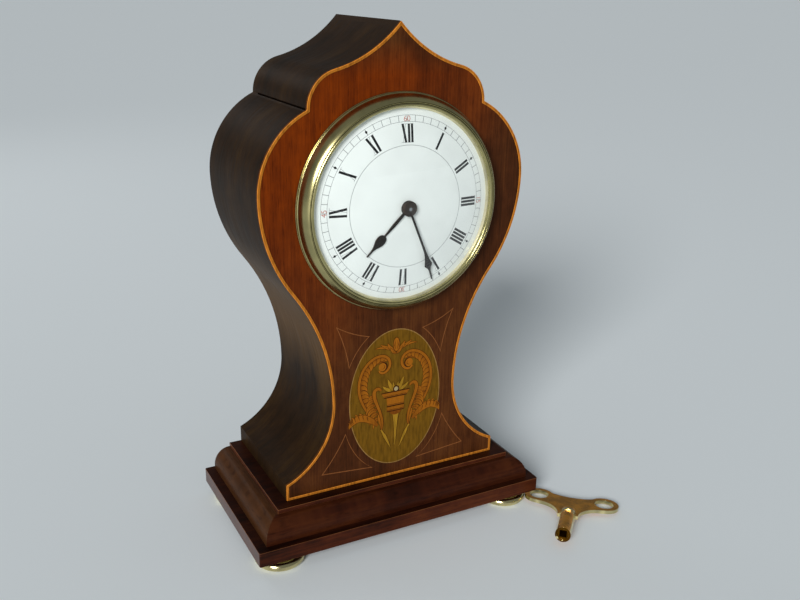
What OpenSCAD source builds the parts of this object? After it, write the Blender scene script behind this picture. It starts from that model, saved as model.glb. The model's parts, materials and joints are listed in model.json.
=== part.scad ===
// Balloon clock: inlaid mahogany case on a moulded plinth, with a rear-wound eight-day movement.
// Millimetres. +Z up, the dial faces -Y, the origin is on the table under the middle of the plinth.

/* [Plinth] */
// Width of the bottom slab
slab_w = 168; // [150:1:190]
// Depth of the bottom slab
slab_d = 94; // [90:1:110]
// Thickness of the bottom slab
slab_t = 8; // [7:0.5:12]
// How far the slab stands out in front of the case
front_overhang = 18; // [14:0.5:20]
// Height of the ovolo moulding
moulding_h = 12; // [9:0.5:16]
// How far the foot of the moulding stands out from the case sides
moulding_side = 16.4; // [14:0.2:18]
// How far the foot of the moulding stands out from the case front
moulding_front = 13.8; // [11:0.2:15]
// Width of the ovolo curve
ovolo_w = 8.6; // [5:0.2:9]
// Upright edge under the ovolo
ovolo_quirk = 2; // [1:0.5:4]
// Thickness of the thin top board
top_t = 2.3; // [1.5:0.1:4]
// How far the top board stands out from the case sides
top_side = 7.1; // [5:0.1:9]
// How far the top board stands out from the case front
top_front = 6; // [4:0.1:7]

/* [Feet] */
// Height of a foot
foot_h = 7; // [5.6:0.2:9]
// Radius of a foot
foot_r = 13; // [9:0.2:13]
// From the slab's ends to the foot's centre
foot_inset_x = 15; // [15:0.5:22]
// From the slab's front and back to the foot's centre
foot_inset_y = 13; // [13:0.5:18]
// Radius of the spigot that holds the foot in the slab
spigot_r = 3; // [2:0.25:4]
// Length of the spigot
spigot_l = 5; // [3:0.5:6]

/* [Case] */
// Depth of the case
case_d = 74; // [70:1:76]
// Height of the case from its bottom to the apex
case_h = 237.5; // [230:0.5:250]
// Width of the case at its bottom
case_w = 124.6; // [116:0.2:130]
// Height of the upright edge at the bottom of the sides
heel_h = 9; // [7:0.5:14]
// Width at the waist
waist_w = 72; // [68:0.5:80]
// Height of the waist
waist_z = 49; // [44:0.5:56]
// Radius of the hollow above the waist
waist_r = 104.6; // [90:0.2:115]
// Width of the balloon at its widest
balloon_w = 145; // [140:0.5:155]
// Height of the widest part of the balloon
balloon_z = 159.5; // [154:0.5:164]
// Radius of the balloon above its widest part
balloon_r = 43.7; // [41:0.1:46]
// Height of the notch between balloon and crown
notch_z = 199; // [196:0.5:202]
// Radius of the shoulder above the notch
shoulder_r = 18.4; // [16:0.1:20]
// Radius of the hollow that rises to the apex
crown_r = 65.7; // [55:0.1:80]
// Thickness of the front board
front_t = 10; // [6:0.5:12]
// Thickness of the bent sides
side_t = 6; // [4:0.25:8]
// Thickness of the back board
back_t = 8; // [6:0.5:10]
// Thickness of the bottom board
bottom_t = 7; // [5:0.5:10]
// Radius of the round openings in front and back board
opening_r = 46; // [45.5:0.25:47]

/* [Inlay] */
// Width of the boxwood stringing on the front edge
string_w = 1.5; // [1:0.1:3]
// Depth of the stringing into the front edge
string_d = 1.5; // [1:0.1:3]
// Thickness of the inlaid veneer
inlay_t = 1.2; // [0.6:0.1:2]
// Width of the oval, over its line
oval_w = 53.8; // [48:0.2:56]
// Height of the oval, over its line
oval_h = 77.8; // [70:0.2:78]
// Height of the oval's middle above the case bottom
oval_z = 46.4; // [45:0.2:48]
// Width of the inlaid lines
line_w = 0.5; // [0.4:0.1:1.4]
// Gap between the oval and the line panels beside it
panel_gap = 4; // [2.5:0.1:5]

/* [Dial] */
// Height of the dial centre above the case bottom
dial_z = 151.3; // [148:0.1:154]
// Radius of the enamel dial
dial_r = 48; // [47:0.1:48.2]
// Thickness of the dial
dial_t = 1; // [0.8:0.1:1.1]
// Rise of the dial from edge to middle
dial_dome = 4.4; // [3.6:0.1:4.5]
// How far the back of the dial's rim stands in front of the case
dial_stand = 4.2; // [3.8:0.1:4.4]
// Thickness of the pan behind the dial
pan_t = 1.5; // [1:0.1:2]
// Radius over the outer bead of the bezel
bezel_r = 54.6; // [54:0.1:58]
// Height of the bezel in front of the case
bezel_h = 8.5; // [8.3:0.1:10]
// Inner radius of the bezel, which the dial and glass fit
bezel_bore_r = 49; // [49:0.1:49.6]
// Radius of the opening in the bezel's lip
lip_r = 48; // [47.5:0.1:48.2]
// Radius of the sight ring where it meets the dial
sight_r = 46.2; // [45:0.1:46.6]
// How far the edge of the glass stands in front of the case
glass_stand = 6.7; // [6.5:0.1:7]
// Thickness of the glass
glass_t = 0.8; // [0.6:0.1:1]
// Rise of the glass from edge to middle
glass_rise = 7.6; // [7:0.1:9]

/* [Hands] */
// Length of the minute hand
minute_l = 42.2; // [41:0.2:44]
// Length of the hour hand
hour_l = 31.1; // [29:0.1:34]
// Minutes past the hour that the hands show
minutes_past = 26.5; // [0:0.5:59.5]
// Hour that the hands show
hour_shown = 7; // [0:1:11]
// Thickness of the hands
hand_t = 0.5; // [0.4:0.05:0.6]
// How far the hour hand stands in front of the case
hour_stand = 10.2; // [10.1:0.1:10.4]
// Drop of the hour hand's tip towards the dial
hour_drop = 1.9; // [1.2:0.1:2]
// How far the minute hand stands in front of the case
minute_stand = 11.1; // [11:0.1:11.4]
// Drop of the minute hand's tip towards the dial
minute_drop = 4.2; // [3.4:0.1:4.4]
// Radius of the collet that holds the hands
collet_r = 3.8; // [3.5:0.1:4.4]
// Height of the collet
collet_h = 1; // [0.8:0.1:1.2]

/* [Movement] */
// Radius of the plates
plate_r = 38; // [37.5:0.25:39]
// Thickness of the plates
plate_t = 2; // [1.5:0.1:2.5]
// Space between the plates
plate_gap = 24; // [24:0.5:26]
// How far the front plate lies behind the case front
plate_set = 3; // [2.6:0.1:3.2]
// Radius of the pillars
pillar_r = 2.5; // [2:0.1:3]
// Radius at which the pillars stand
pillar_ring_r = 34; // [33.5:0.25:34.5]
// Radius of the train arbors
arbor_r = 1.2; // [1:0.05:1.3]
// Radius of the train pivots
pivot_r = 0.7; // [0.5:0.05:0.8]
// Clearance of a pivot in its hole
run_gap = 0.05; // [0.03:0.01:0.08]
// Free space between parts that move past each other
free_gap = 0.3; // [0.2:0.05:0.35]
// Thickness of the train wheels
wheel_t = 1.2; // [0.8:0.1:1.4]
// Side of the winding square
square_w = 3.6; // [3:0.1:4]

/* [Teeth] */
// Teeth on the barrel
barrel_n = 84; // [84:1:84]
// Leaves of the intermediate pinion
inter_pinion_n = 12; // [12:1:12]
// Teeth on the intermediate wheel
inter_n = 60; // [60:1:60]
// Leaves of the centre pinion
centre_pinion_n = 12; // [12:1:12]
// Teeth on the centre wheel
centre_n = 80; // [80:1:80]
// Leaves of the third, fourth and escape pinions
train_pinion_n = 10; // [10:1:10]
// Teeth on the third wheel
third_n = 75; // [75:1:75]
// Teeth on the fourth wheel
fourth_n = 80; // [80:1:80]
// Teeth on the escape wheel
escape_n = 15; // [15:1:15]
// Leaves of the cannon pinion
cannon_n = 12; // [12:1:12]
// Teeth on the minute wheel
minute_wheel_n = 36; // [36:1:36]
// Leaves of the minute pinion
minute_pinion_n = 10; // [10:1:10]
// Teeth on the hour wheel
hour_wheel_n = 40; // [40:1:40]
// Teeth on the ratchet wheel
ratchet_n = 30; // [30:1:30]
// Module of the barrel teeth
barrel_m = 0.38; // [0.37:0.01:0.39]
// Module of the intermediate wheel
inter_m = 0.42; // [0.41:0.01:0.43]
// Module of the centre wheel
centre_m = 0.3; // [0.29:0.01:0.31]
// Module of the third wheel
third_m = 0.27; // [0.26:0.01:0.28]
// Module of the fourth wheel
fourth_m = 0.24; // [0.23:0.01:0.25]
// Module of the motion work
motion_m = 0.4; // [0.38:0.01:0.42]
// Shake between two meshing flanks
backlash = 0.12; // [0.08:0.01:0.14]

/* [Escapement] */
// Radius of the escape wheel
escape_r = 4.6; // [4.4:0.1:4.8]
// Radius of the balance
balance_r = 7.5; // [7:0.1:8]
// Distance from lever staff to balance staff
lever_l = 8; // [7.8:0.1:8.4]
// Radius at which the impulse pin stands
impulse_r = 1.35; // [1.2:0.05:1.5]
// Coils of the hairspring
hair_turns = 5; // [4:1:6]
// Thickness of the hairspring
hair_t = 0.2; // [0.15:0.05:0.25]

/* [Back] */
// Outer radius of the rear ring
ring_r = 50; // [49:0.25:53]
// Inner radius of the rear ring
ring_bore_r = 38; // [37:0.25:38]
// Thickness of the rear ring
ring_t = 2; // [1.5:0.1:3]
// Radius of the rear door
door_r = 39.4; // [39:0.1:39.6]
// Thickness of the rear door
door_t = 1.2; // [1:0.1:1.6]
// Radius of the hinge knuckles
knuckle_r = 1.7; // [1.5:0.1:1.8]
// Length of the middle knuckle
knuckle_l = 8; // [6:0.5:12]
// Radius of the hinge pin
hinge_pin_r = 0.8; // [0.6:0.05:1]
// Width of the straps
strap_w = 12; // [8:0.5:13]
// Thickness of the straps
strap_t = 1.2; // [0.8:0.1:1.4]

/* [Key] */
// Distance between the holes of the two bows
key_span = 37.2; // [32:0.2:40]
// Outer radius of a bow
bow_r = 8.2; // [7.8:0.1:8.4]
// Radius of the hole in a bow
bow_hole_r = 5.4; // [4.5:0.1:5.8]
// Thickness of the bows
bow_t = 2; // [1.6:0.1:3]
// From the bows' middle to the mouth of the pipe
key_l = 45; // [38:0.5:50]
// Radius of the pipe
pipe_r = 4.2; // [3.6:0.1:4.6]
// Depth of the square hole in the pipe
key_hole_d = 18; // [12:0.5:20]

/* [Hidden] */
$fn = 48;

eps = 0.01;
seat_gap = 0.02;
arc_step = 3;
mahogany = "#6b2a14";
dark_mahogany = "#3c1f12";
boxwood = "#c98a2c";
brass = "#b9a05a";
plate_brass = "#c8a852";
steel = "#8d9296";
blued_steel = "#23242b";

// Levels and planes of the case
slab_z = foot_h;
moulding_z = slab_z + slab_t;
top_z = moulding_z + moulding_h;
case_z = top_z + top_t;
case_front_y = -slab_d / 2 + front_overhang;
case_back_y = case_front_y + case_d;
dial_centre_z = case_z + dial_z;

// Depths in the movement's own frame, measured from the dial axis towards the front
front_face = -case_front_y;
back_face = -case_back_y;
plate_front = front_face - plate_set;
plate_front_in = plate_front - plate_t;
plate_back_in = plate_front_in - plate_gap;
plate_back = plate_back_in - plate_t;

// Balloon outline: half widths, then the radii and centres that make its arcs run into each other
heel_x = case_w / 2;
waist_x = waist_w / 2;
balloon_x = balloon_w / 2;
heel_run = waist_z - heel_h;
heel_r = ((heel_x - waist_x) ^ 2 + heel_run ^ 2) / (2 * (heel_x - waist_x));
flank_run = balloon_z - waist_z;
flank_out = balloon_x - waist_x;
flank_r = (flank_out ^ 2 + flank_run ^ 2) / (2 * flank_out) - waist_r;
flank_a = 2 * atan2(flank_out, flank_run);
heel_c = [waist_x + heel_r, waist_z];
waist_c = [waist_x + waist_r, waist_z];
flank_c = [balloon_x - flank_r, balloon_z];
balloon_c = [balloon_x - balloon_r, balloon_z];
notch_x = balloon_c.x + sqrt(balloon_r ^ 2 - (notch_z - balloon_z) ^ 2);
shoulder_c = [notch_x - shoulder_r, notch_z];
to_apex = [0, case_h] - shoulder_c;
apex_l = norm(to_apex);
crown_along = (shoulder_r ^ 2 + 2 * shoulder_r * crown_r + apex_l ^ 2) / (2 * apex_l);
crown_aside = sqrt((shoulder_r + crown_r) ^ 2 - crown_along ^ 2);
crown_c = shoulder_c + (to_apex * crown_along + [to_apex.y, -to_apex.x] * crown_aside) / apex_l;
shoulder_a = atan2(crown_c.y - shoulder_c.y, crown_c.x - shoulder_c.x);

// Points along an arc, without its first point
function arc(c, r, a0, a1) =
    let (n = ceil(abs(a1 - a0) / arc_step))
    [for (i = [1:n]) let (a = a0 + (a1 - a0) * i / n) c + r * [cos(a), sin(a)]];

function reverse(list) = [for (i = [len(list) - 1:-1:0]) list[i]];
function polar(r, a) = r * [cos(a), sin(a)];

// Where the balloon's arc and the shoulder's arc cross, both drawn in by t
function notch_point(t) =
    let (ra = balloon_r - t, rb = shoulder_r - t, d = norm(shoulder_c - balloon_c),
         u = (shoulder_c - balloon_c) / d, along = (ra ^ 2 - rb ^ 2 + d ^ 2) / (2 * d),
         aside = sqrt(ra ^ 2 - along ^ 2))
    balloon_c + u * along + [u.y, -u.x] * aside;

// Right half of the outline drawn in by t, from its bottom at height z0 up to the apex
function half_outline(t, z0 = 0) =
    let (p = notch_point(t), a_heel = 180 + acos((heel_c.x - heel_x + t) / (heel_r + t)),
         a_ball = atan2(p.y - balloon_c.y, p.x - balloon_c.x),
         a_shoulder = atan2(p.y - shoulder_c.y, p.x - shoulder_c.x),
         a_apex = 180 + acos(crown_c.x / (crown_r + t)))
    concat([[heel_x - t, z0], heel_c + polar(heel_r + t, a_heel)],
           arc(heel_c, heel_r + t, a_heel, 180),
           arc(waist_c, waist_r + t, 180, 180 - flank_a),
           arc(flank_c, flank_r - t, -flank_a, 0),
           arc(balloon_c, balloon_r - t, 0, a_ball),
           arc(shoulder_c, shoulder_r - t, a_shoulder, shoulder_a),
           arc(crown_c, crown_r + t, shoulder_a + 180, a_apex));

function whole_outline(t, z0 = 0) =
    let (half = half_outline(t, z0), n = len(half))
    concat(half, [for (i = [n - 2:-1:0]) [-half[i].x, half[i].y]]);

// Stands a flat shape up, from y0 backwards by t, with its heights measured from the case bottom
module upright(y0, t) {
    translate([0, y0 + t, case_z]) rotate([90, 0, 0]) linear_extrude(t) children();
}

// The movement's frame: X right, Y up, Z towards the front, on the dial axis
module movement() {
    translate([0, 0, dial_centre_z]) rotate([90, 0, 0]) children();
}

module disc(r, z0, z1) {
    translate([0, 0, z0]) cylinder(r = r, h = z1 - z0);
}

module at(p) {
    translate([p.x, p.y, 0]) children();
}

module slice(z0, z1) {
    translate([0, 0, z0]) linear_extrude(z1 - z0) children();
}

// A straight bar of width w between two points
module bar(p, q, w) {
    d = (q - p) / norm(q - p) * w / 2;
    n = [-d.y, d.x];
    polygon([p - n, q - n, q + n, p + n]);
}

// Plinth

foot_x = slab_w / 2 - foot_inset_x;
foot_y = slab_d / 2 - foot_inset_y;
base_screw_r = 1.8;
base_screw_head_r = 3.6;
base_screw_x = heel_x * 0.64;
base_screw_run = case_d * 0.2;
base_screw_bite = bottom_t - 1;
case_mid_y = (case_front_y + case_back_y) / 2;
moulding_x = heel_x + moulding_side;
moulding_y = case_front_y - moulding_front;
top_x = heel_x + top_side;
top_y = case_front_y - top_front;
slab_round = 1;

module at_base_screws() {
    for (sx = [-1, 1], sy = [-1, 1])
        translate([sx * base_screw_x, case_mid_y + sy * base_screw_run, slab_z]) children();
}

module screw_holes() {
    at_base_screws() translate([0, 0, -eps]) cylinder(r = base_screw_r + free_gap / 2, h = case_z - slab_z + 2 * eps);
}

module rounded_rect(w, d, r) {
    square([w - 2 * r, d], center = true);
    square([w, d - 2 * r], center = true);
    for (sx = [-1, 1], sy = [-1, 1])
        translate([sx * (w / 2 - r), sy * (d / 2 - r)]) circle(r);
}

module base_slab() {
    color(mahogany) difference() {
        translate([0, 0, slab_z]) linear_extrude(slab_t) rounded_rect(slab_w, slab_d, slab_round);
        for (sx = [-1, 1], sy = [-1, 1])
            translate([sx * foot_x, sy * foot_y, slab_z - eps])
                cylinder(r = spigot_r + run_gap, h = spigot_l + free_gap);
        screw_holes();
        at_base_screws() translate([0, 0, -eps])
            cylinder(r1 = base_screw_head_r + run_gap, r2 = base_screw_r + run_gap, h = base_screw_head_r - base_screw_r);
    }
}

// The moulding's curve from its foot up: an upright quirk, then a quarter round drawn in to its top
function ovolo(x_out) =
    let (steps = 12)
    concat([[x_out, 0]],
           [for (i = [0:steps]) let (a = 90 * i / steps)
               [x_out - ovolo_w * (1 - cos(a)), ovolo_quirk + (moulding_h - ovolo_quirk) * sin(a)]]);

module base_moulding() {
    run = case_back_y - moulding_y;
    right = ovolo(moulding_x);
    color(dark_mahogany) difference() {
        intersection() {
            translate([0, case_back_y, moulding_z]) rotate([90, 0, 0]) linear_extrude(run)
                polygon(concat(right, [for (p = reverse(right)) [-p.x, p.y]]));
            translate([-moulding_x, case_back_y, moulding_z]) rotate([90, 0, 90]) linear_extrude(2 * moulding_x)
                polygon(concat([for (p = ovolo(run)) [-p.x, p.y]], [[0, moulding_h], [0, 0]]));
        }
        screw_holes();
    }
}

module base_top() {
    color(mahogany) difference() {
        translate([-top_x, top_y, top_z]) cube([2 * top_x, case_back_y - top_y, top_t]);
        screw_holes();
    }
}

// Turned foot: a rounded base disc, a groove and a smaller bead, with a spigot up into the slab
module foot(sx, sy) {
    bead_h = foot_h * 0.36;
    base_h = foot_h - bead_h;
    color(brass) translate([sx * foot_x, sy * foot_y, 0]) {
        rotate_extrude() {
            square([foot_r - base_h / 2, base_h]);
            translate([foot_r - base_h / 2, base_h / 2]) circle(base_h / 2);
            square([foot_r * 0.84, foot_h]);
            translate([foot_r * 0.84, foot_h - bead_h / 2]) circle(bead_h / 2);
        }
        cylinder(r = spigot_r, h = foot_h + spigot_l);
    }
}

module base_screws() {
    color(steel) at_base_screws() {
        cylinder(r1 = base_screw_head_r, r2 = base_screw_r, h = base_screw_head_r - base_screw_r);
        cylinder(r = base_screw_r, h = case_z - slab_z + base_screw_bite - free_gap);
    }
}

// Case

module string_ring() {
    difference() {
        polygon(whole_outline(0));
        polygon(whole_outline(string_w, string_w));
    }
}

module case_front() {
    color(mahogany) difference() {
        upright(case_front_y, front_t) polygon(whole_outline(0));
        upright(case_front_y - eps, string_d + eps) string_ring();
        upright(case_front_y - eps, inlay_t + eps) {
            oval(oval_w, oval_h);
            panel_lines();
        }
        movement() disc(opening_r, front_face - front_t - eps, front_face + eps);
    }
}

module edge_stringing() {
    color(boxwood) upright(case_front_y, string_d) string_ring();
}

module case_side_right() {
    color(dark_mahogany) upright(case_front_y + front_t, case_d - front_t - back_t)
        polygon(concat(half_outline(0), reverse(half_outline(side_t))));
}

module case_side_left() {
    mirror([1, 0, 0]) case_side_right();
}

module case_back() {
    color(dark_mahogany) difference() {
        upright(case_back_y - back_t, back_t) polygon(whole_outline(0));
        movement() disc(opening_r, back_face - eps, back_face + back_t + eps);
    }
}

module case_bottom() {
    color(dark_mahogany) difference() {
        upright(case_front_y + front_t, case_d - front_t - back_t) intersection() {
            polygon(whole_outline(side_t));
            translate([-heel_x, 0]) square([case_w, bottom_t]);
        }
        at_base_screws() cylinder(r = base_screw_r + run_gap, h = case_z - slab_z + base_screw_bite);
    }
}

// Inlay on the front

module oval(w, h) {
    n = 72;
    polygon([for (i = [0:n - 1]) let (a = 360 * i / n) [w / 2 * cos(a), oval_z + h / 2 * sin(a)]]);
}

// A three-cornered panel beside the oval: two sides bow a little towards its middle, the third keeps the oval's gap
panel_upper = [34, oval_z + 45.4];
panel_lower = [42.9, oval_z - 36.2];
panel_upper_a = [60.5, 29.5];
panel_lower_a = [-65, -20.5];
panel_bow = 0.9;

function beside_oval(a) = [(oval_w / 2 + panel_gap) * cos(a), oval_z + (oval_h / 2 + panel_gap) * sin(a)];

// Points from p towards q on a side that bows to its left by b
function bowed(p, q, b) =
    let (n = 8, u = (q - p) / norm(q - p))
    [for (i = [0:n - 1]) let (t = i / n) p + (q - p) * t + [-u.y, u.x] * b * 4 * t * (1 - t)];

module panel(corner, span, bow_a, bow_b) {
    n = 10;
    p = beside_oval(span[0]);
    q = beside_oval(span[1]);
    sides = [norm(q - corner), norm(p - corner), norm(p - q)];
    whole = sides[0] + sides[1] + sides[2];
    middle = (p * sides[0] + q * sides[1] + corner * sides[2]) / whole;
    in_r = abs((q.x - p.x) * (corner.y - p.y) - (q.y - p.y) * (corner.x - p.x)) / whole;
    outer = concat(bowed(p, corner, bow_a), bowed(corner, q, bow_b),
                   [for (i = [0:n - 1]) beside_oval(span[1] + (span[0] - span[1]) * i / n)]);
    difference() {
        polygon(outer);
        polygon([for (v = outer) middle + (v - middle) * (1 - line_w / in_r)]);
    }
}

module panel_lines() {
    for (side = [0, 1]) mirror([side, 0]) {
        panel(panel_upper, panel_upper_a, -panel_bow, -panel_bow);
        panel(panel_lower, panel_lower_a, 0, panel_bow);
    }
}

module inlay_lines() {
    color(boxwood) upright(case_front_y, inlay_t) {
        panel_lines();
        difference() {
            oval(oval_w, oval_h);
            oval(oval_w - 2 * line_w, oval_h - 2 * line_w);
        }
    }
}

// A point of the motif, drawn in an oval 54 wide and 78 high, fitted to the oval
function fit(p) = [p.x * oval_w / 54, oval_z + p.y * oval_h / 78];

// Points along a curve with two end points and two handles
function curve(p, n = 8) =
    [for (i = [0:n]) let (t = i / n, s = 1 - t)
        fit(s ^ 3 * p[0] + 3 * s ^ 2 * t * p[1] + 3 * s * t ^ 2 * p[2] + t ^ 3 * p[3])];

// A pointed leaf between two points
module leaf(p, q, w) {
    m = (p + q) / 2;
    n = [p.y - q.y, q.x - p.x] / norm(q - p) * w * 0.7;
    polygon(concat(curve([p, m + n, m + n, q]), curve([q, m - n, m - n, p])));
}

// Right half of the leafwork: scroll with its curl, lower leaf and inner branch from one tie, stem end, palmette leaf
module leafwork() {
    foot = [8, -19];
    tie_r = 0.9;
    translate(fit(foot)) circle(tie_r);
    polygon(concat(curve([[3.3, 19.5], [3.4, 29], [21.7, 28.5], [21.7, 8]]),
                   curve([[21.7, 8], [21.7, -4], [14, -10], foot]),
                   curve([foot, [10, -11], [17, -2], [17, 8]]),
                   curve([[17, 8], [17, 17], [13, 23], [9, 22.3]])));
    curl = [for (i = [0:24]) fit([7.5, 19.5] + polar(4.2, 15 * i))];
    polygon(curl);
    polygon(concat(curve([foot, [14, -12.5], [21, -13.5], [25, -11]]),
                   curve([[25, -11], [23, -4], [18, -8], [12, -8]])));
    polygon(concat(curve([[6.4, -18.5], [5.6, -10], [10.4, -6], [10.4, 1]]),
                   curve([[10.4, 1], [10.4, 4], [10, 5], [9, 6.8]]),
                   curve([[9, 6.8], [13.6, 6], [12.6, -4], foot])));
    leaf([6.8, -20], [2.8, -30], 1.7);
    polygon(concat(curve([[0.6, 25], [3, 29.5], [7, 30], [12.5, 29.8]]),
                   curve([[12.5, 29.8], [9, 31.6], [5, 32.4], [2.4, 29]])));
    leaf([1.2, 5], [4.6, 11.4], 2.2);
    leaf([2.6, 4.8], [7.4, 8.4], 1.8);
}

// Banded urn on a tapered stem, between the two halves of the leafwork, under a bud
module motif() {
    bands = [[8.1, 7.6, 2.2, 4.4], [5.2, 5, -3.8, 1.6], [5.7, 5.3, -6.8, -4.4], [4.6, 2, -10, -7.3], [2, 0.3, -28, -10]];
    for (b = bands) polygon([fit([-b[1], b[2]]), fit([b[1], b[2]]), fit([b[0], b[3]]), fit([-b[0], b[3]])]);
    leaf([0, 24.6], [0, 34.5], 3.9);
    leaf([0, 5], [0, 12.4], 2);
    leafwork();
    mirror([1, 0]) leafwork();
}

module oval_ground() {
    color("#6b5f24") upright(case_front_y, inlay_t) difference() {
        oval(oval_w - 2 * line_w, oval_h - 2 * line_w);
        motif();
    }
}

module marquetry_motif() {
    color("#c9782f") upright(case_front_y, inlay_t) motif();
}

// Dial and bezel

dial_back = front_face + dial_stand;
pan_back = dial_back - pan_t;
glass_seat = front_face + glass_stand;
glass_r = bezel_bore_r - run_gap * 2;
glass_curve_r = (glass_r ^ 2 + glass_rise ^ 2) / (2 * glass_rise);
glass_c = glass_seat + glass_rise - glass_curve_r;
lip_under = glass_c + sqrt((glass_curve_r + glass_t) ^ 2 - lip_r ^ 2) + run_gap;
dial_foot_r = 2.2;
dial_foot_ring_r = 29;
dial_foot_a = [20, 110, 290];
cannon_pipe_r = 1.8;
hour_pipe_r = 2.6;
pipe_hole_r = hour_pipe_r + free_gap;

// Height of the domed face of the dial at a radius
function dial_front(r) = dial_back + dial_t + dial_dome * (1 - (r / dial_r) ^ 2);

// Bezel section: outer bead, broad half round and an inner bead over the lip that holds the glass
module bezel() {
    bead_r = 1.2;
    band_r = 3.2;
    lip_bead_r = 0.9;
    band_x = bezel_r - bead_r - band_r + 0.1;
    color(brass) movement() translate([0, 0, front_face]) rotate_extrude($fn = 96) difference() {
        union() {
            translate([lip_r, 0]) square([band_x + band_r * 0.9 - lip_r, bezel_h - band_r]);
            translate([lip_r + lip_bead_r, 0]) square([band_x - lip_r - lip_bead_r, bezel_h - lip_bead_r]);
            translate([bezel_r - bead_r, 2 * bead_r]) circle(bead_r);
            translate([band_x - band_r, 0]) square([2 * band_r - 0.4, 2 * bead_r]);
            translate([band_x, bezel_h - band_r]) circle(band_r);
            translate([lip_r + lip_bead_r, bezel_h - lip_bead_r]) circle(lip_bead_r);
        }
        translate([0, -eps]) square([bezel_bore_r, lip_under - front_face + eps]);
        translate([0, -2 * bezel_h]) square([2 * bezel_r, 2 * bezel_h]);
    }
}

module bezel_glass() {
    color("#dfe8e6", 0.25) movement() intersection() {
        translate([0, 0, glass_c]) rotate_extrude($fn = 96) intersection() {
            difference() {
                circle(glass_curve_r + glass_t);
                circle(glass_curve_r);
            }
            square(2 * glass_curve_r);
        }
        disc(glass_r, glass_seat, glass_seat + glass_rise + 2 * glass_t);
    }
}

// Polished ring that slopes from the glass down to the dial
module sight_ring() {
    ring_under = dial_front(sight_r) + seat_gap;
    edge_t = 0.15;
    color(brass) movement() rotate_extrude($fn = 96)
        polygon([[dial_r + 0.1, dial_back], [glass_r, dial_back], [glass_r, glass_seat],
                 [lip_r - 0.1, glass_seat], [sight_r, ring_under + edge_t], [sight_r, ring_under],
                 [dial_r + 0.1, ring_under]]);
}

// Domed plate with a flat rim that rests on the pan
module dial() {
    steps = 12;
    rim_w = 2.5;
    face_w = dial_r - pipe_hole_r;
    color("#eef0ea") movement() rotate_extrude($fn = 96)
        polygon(concat([for (i = [steps:-1:0]) let (r = pipe_hole_r + face_w * i / steps) [r, dial_front(r)]],
                       [for (i = [0:steps]) let (r = pipe_hole_r + (face_w - rim_w) * i / steps)
                           [r, dial_front(r) - dial_t]],
                       [[dial_r - rim_w, dial_back], [dial_r, dial_back]]));
}

// Pan behind the dial, with feet that pass through the front plate
module dial_pan() {
    color(plate_brass) movement() difference() {
        union() {
            disc(glass_r, pan_back, dial_back);
            for (a = dial_foot_a) at(polar(dial_foot_ring_r, a)) {
                disc(dial_foot_r, plate_front, pan_back + eps);
                disc(dial_foot_r / 2, plate_front_in - 1, plate_front + eps);
            }
        }
        disc(pipe_hole_r, pan_back - eps, dial_back + eps);
    }
}

// Hands

minute_angle = minutes_past * 6;
hour_angle = hour_shown * 30 + minutes_past / 2;
hour_hand_z = front_face + hour_stand;
minute_hand_z = front_face + minute_stand;
collet_z = minute_hand_z + hand_t + seat_gap;
tip_r = 0.9;

// A hand's outline from the points of its right edge
function hand_edge(edge) = concat(edge, [for (i = [len(edge) - 1 : -1 : 0]) [-edge[i].x, edge[i].y]]);

// Strip that is level over the collet as far as the bend and slopes down to the tip
module bent_strip(bend, length, drop) {
    over = collet_r + 1;
    translate([-over, 0, 0]) rotate([90, 0, 90]) linear_extrude(2 * over)
        polygon([[-over, 0], [bend, 0], [length + 1, -drop], [length + 1, hand_t - drop], [bend, hand_t],
                 [-over, hand_t]]);
}

module hour_hand() {
    shaft_x = 0.75;
    neck_x = 0.33;
    tip_x = 0.3;
    spade_r = 2.2;
    spade_z = hour_l * 0.66;
    color(blued_steel) movement() rotate([0, 0, -hour_angle]) translate([0, 0, hour_hand_z]) intersection() {
        slice(-2 * hour_drop, 2 * hand_t) difference() {
            union() {
                circle(collet_r);
                polygon(hand_edge([[shaft_x, 0], [shaft_x, hour_l * 0.32], [neck_x, spade_z]]));
                translate([0, spade_z]) circle(spade_r);
                polygon(hand_edge([[spade_r * 0.88, spade_z + 1], [neck_x, hour_l * 0.83], [tip_x, hour_l]]));
            }
            circle(hour_pipe_r + seat_gap);
        }
        bent_strip(hour_l * 0.16, hour_l, hour_drop);
    }
}

module minute_hand() {
    shaft_x = 0.42;
    head_x = 2;
    neck_x = 0.5;
    tip_x = 0.32;
    color(blued_steel) movement() rotate([0, 0, -minute_angle]) translate([0, 0, minute_hand_z]) intersection() {
        slice(-2 * minute_drop, 2 * hand_t) difference() {
            union() {
                circle(collet_r);
                polygon(hand_edge([[shaft_x, 0], [shaft_x, minute_l * 0.57], [head_x, minute_l * 0.775],
                                   [neck_x, minute_l * 0.86], [tip_x, minute_l]]));
            }
            circle(cannon_pipe_r + seat_gap);
        }
        bent_strip(minute_l * 0.6, minute_l, minute_drop);
    }
}

module hand_collet() {
    bore = tip_r + seat_gap;
    color(blued_steel) movement() translate([0, 0, collet_z]) rotate_extrude()
        polygon([[bore, 0], [collet_r, 0], [collet_r, collet_h * 0.5], [collet_r * 0.85, collet_h * 0.8],
                 [collet_r * 0.55, collet_h], [bore, collet_h]]);
}

// Straps, rear ring and door

strap_y = opening_r - strap_t - 1.3;
strap_tab_l = 4.4;
strap_screw_y = strap_y - 1.2;
strap_rear = back_face + 1.2;
strap_screw_r = 1.2;
ring_face = back_face - ring_t;
door_face = ring_face - 0.2;
door_back = door_face - door_t;
hinge_x = ring_bore_r + 4.4;
hinge_z = ring_face - knuckle_r - free_gap;
lug_x = 1.2;
door_knob_x = -door_r + 6;

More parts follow.
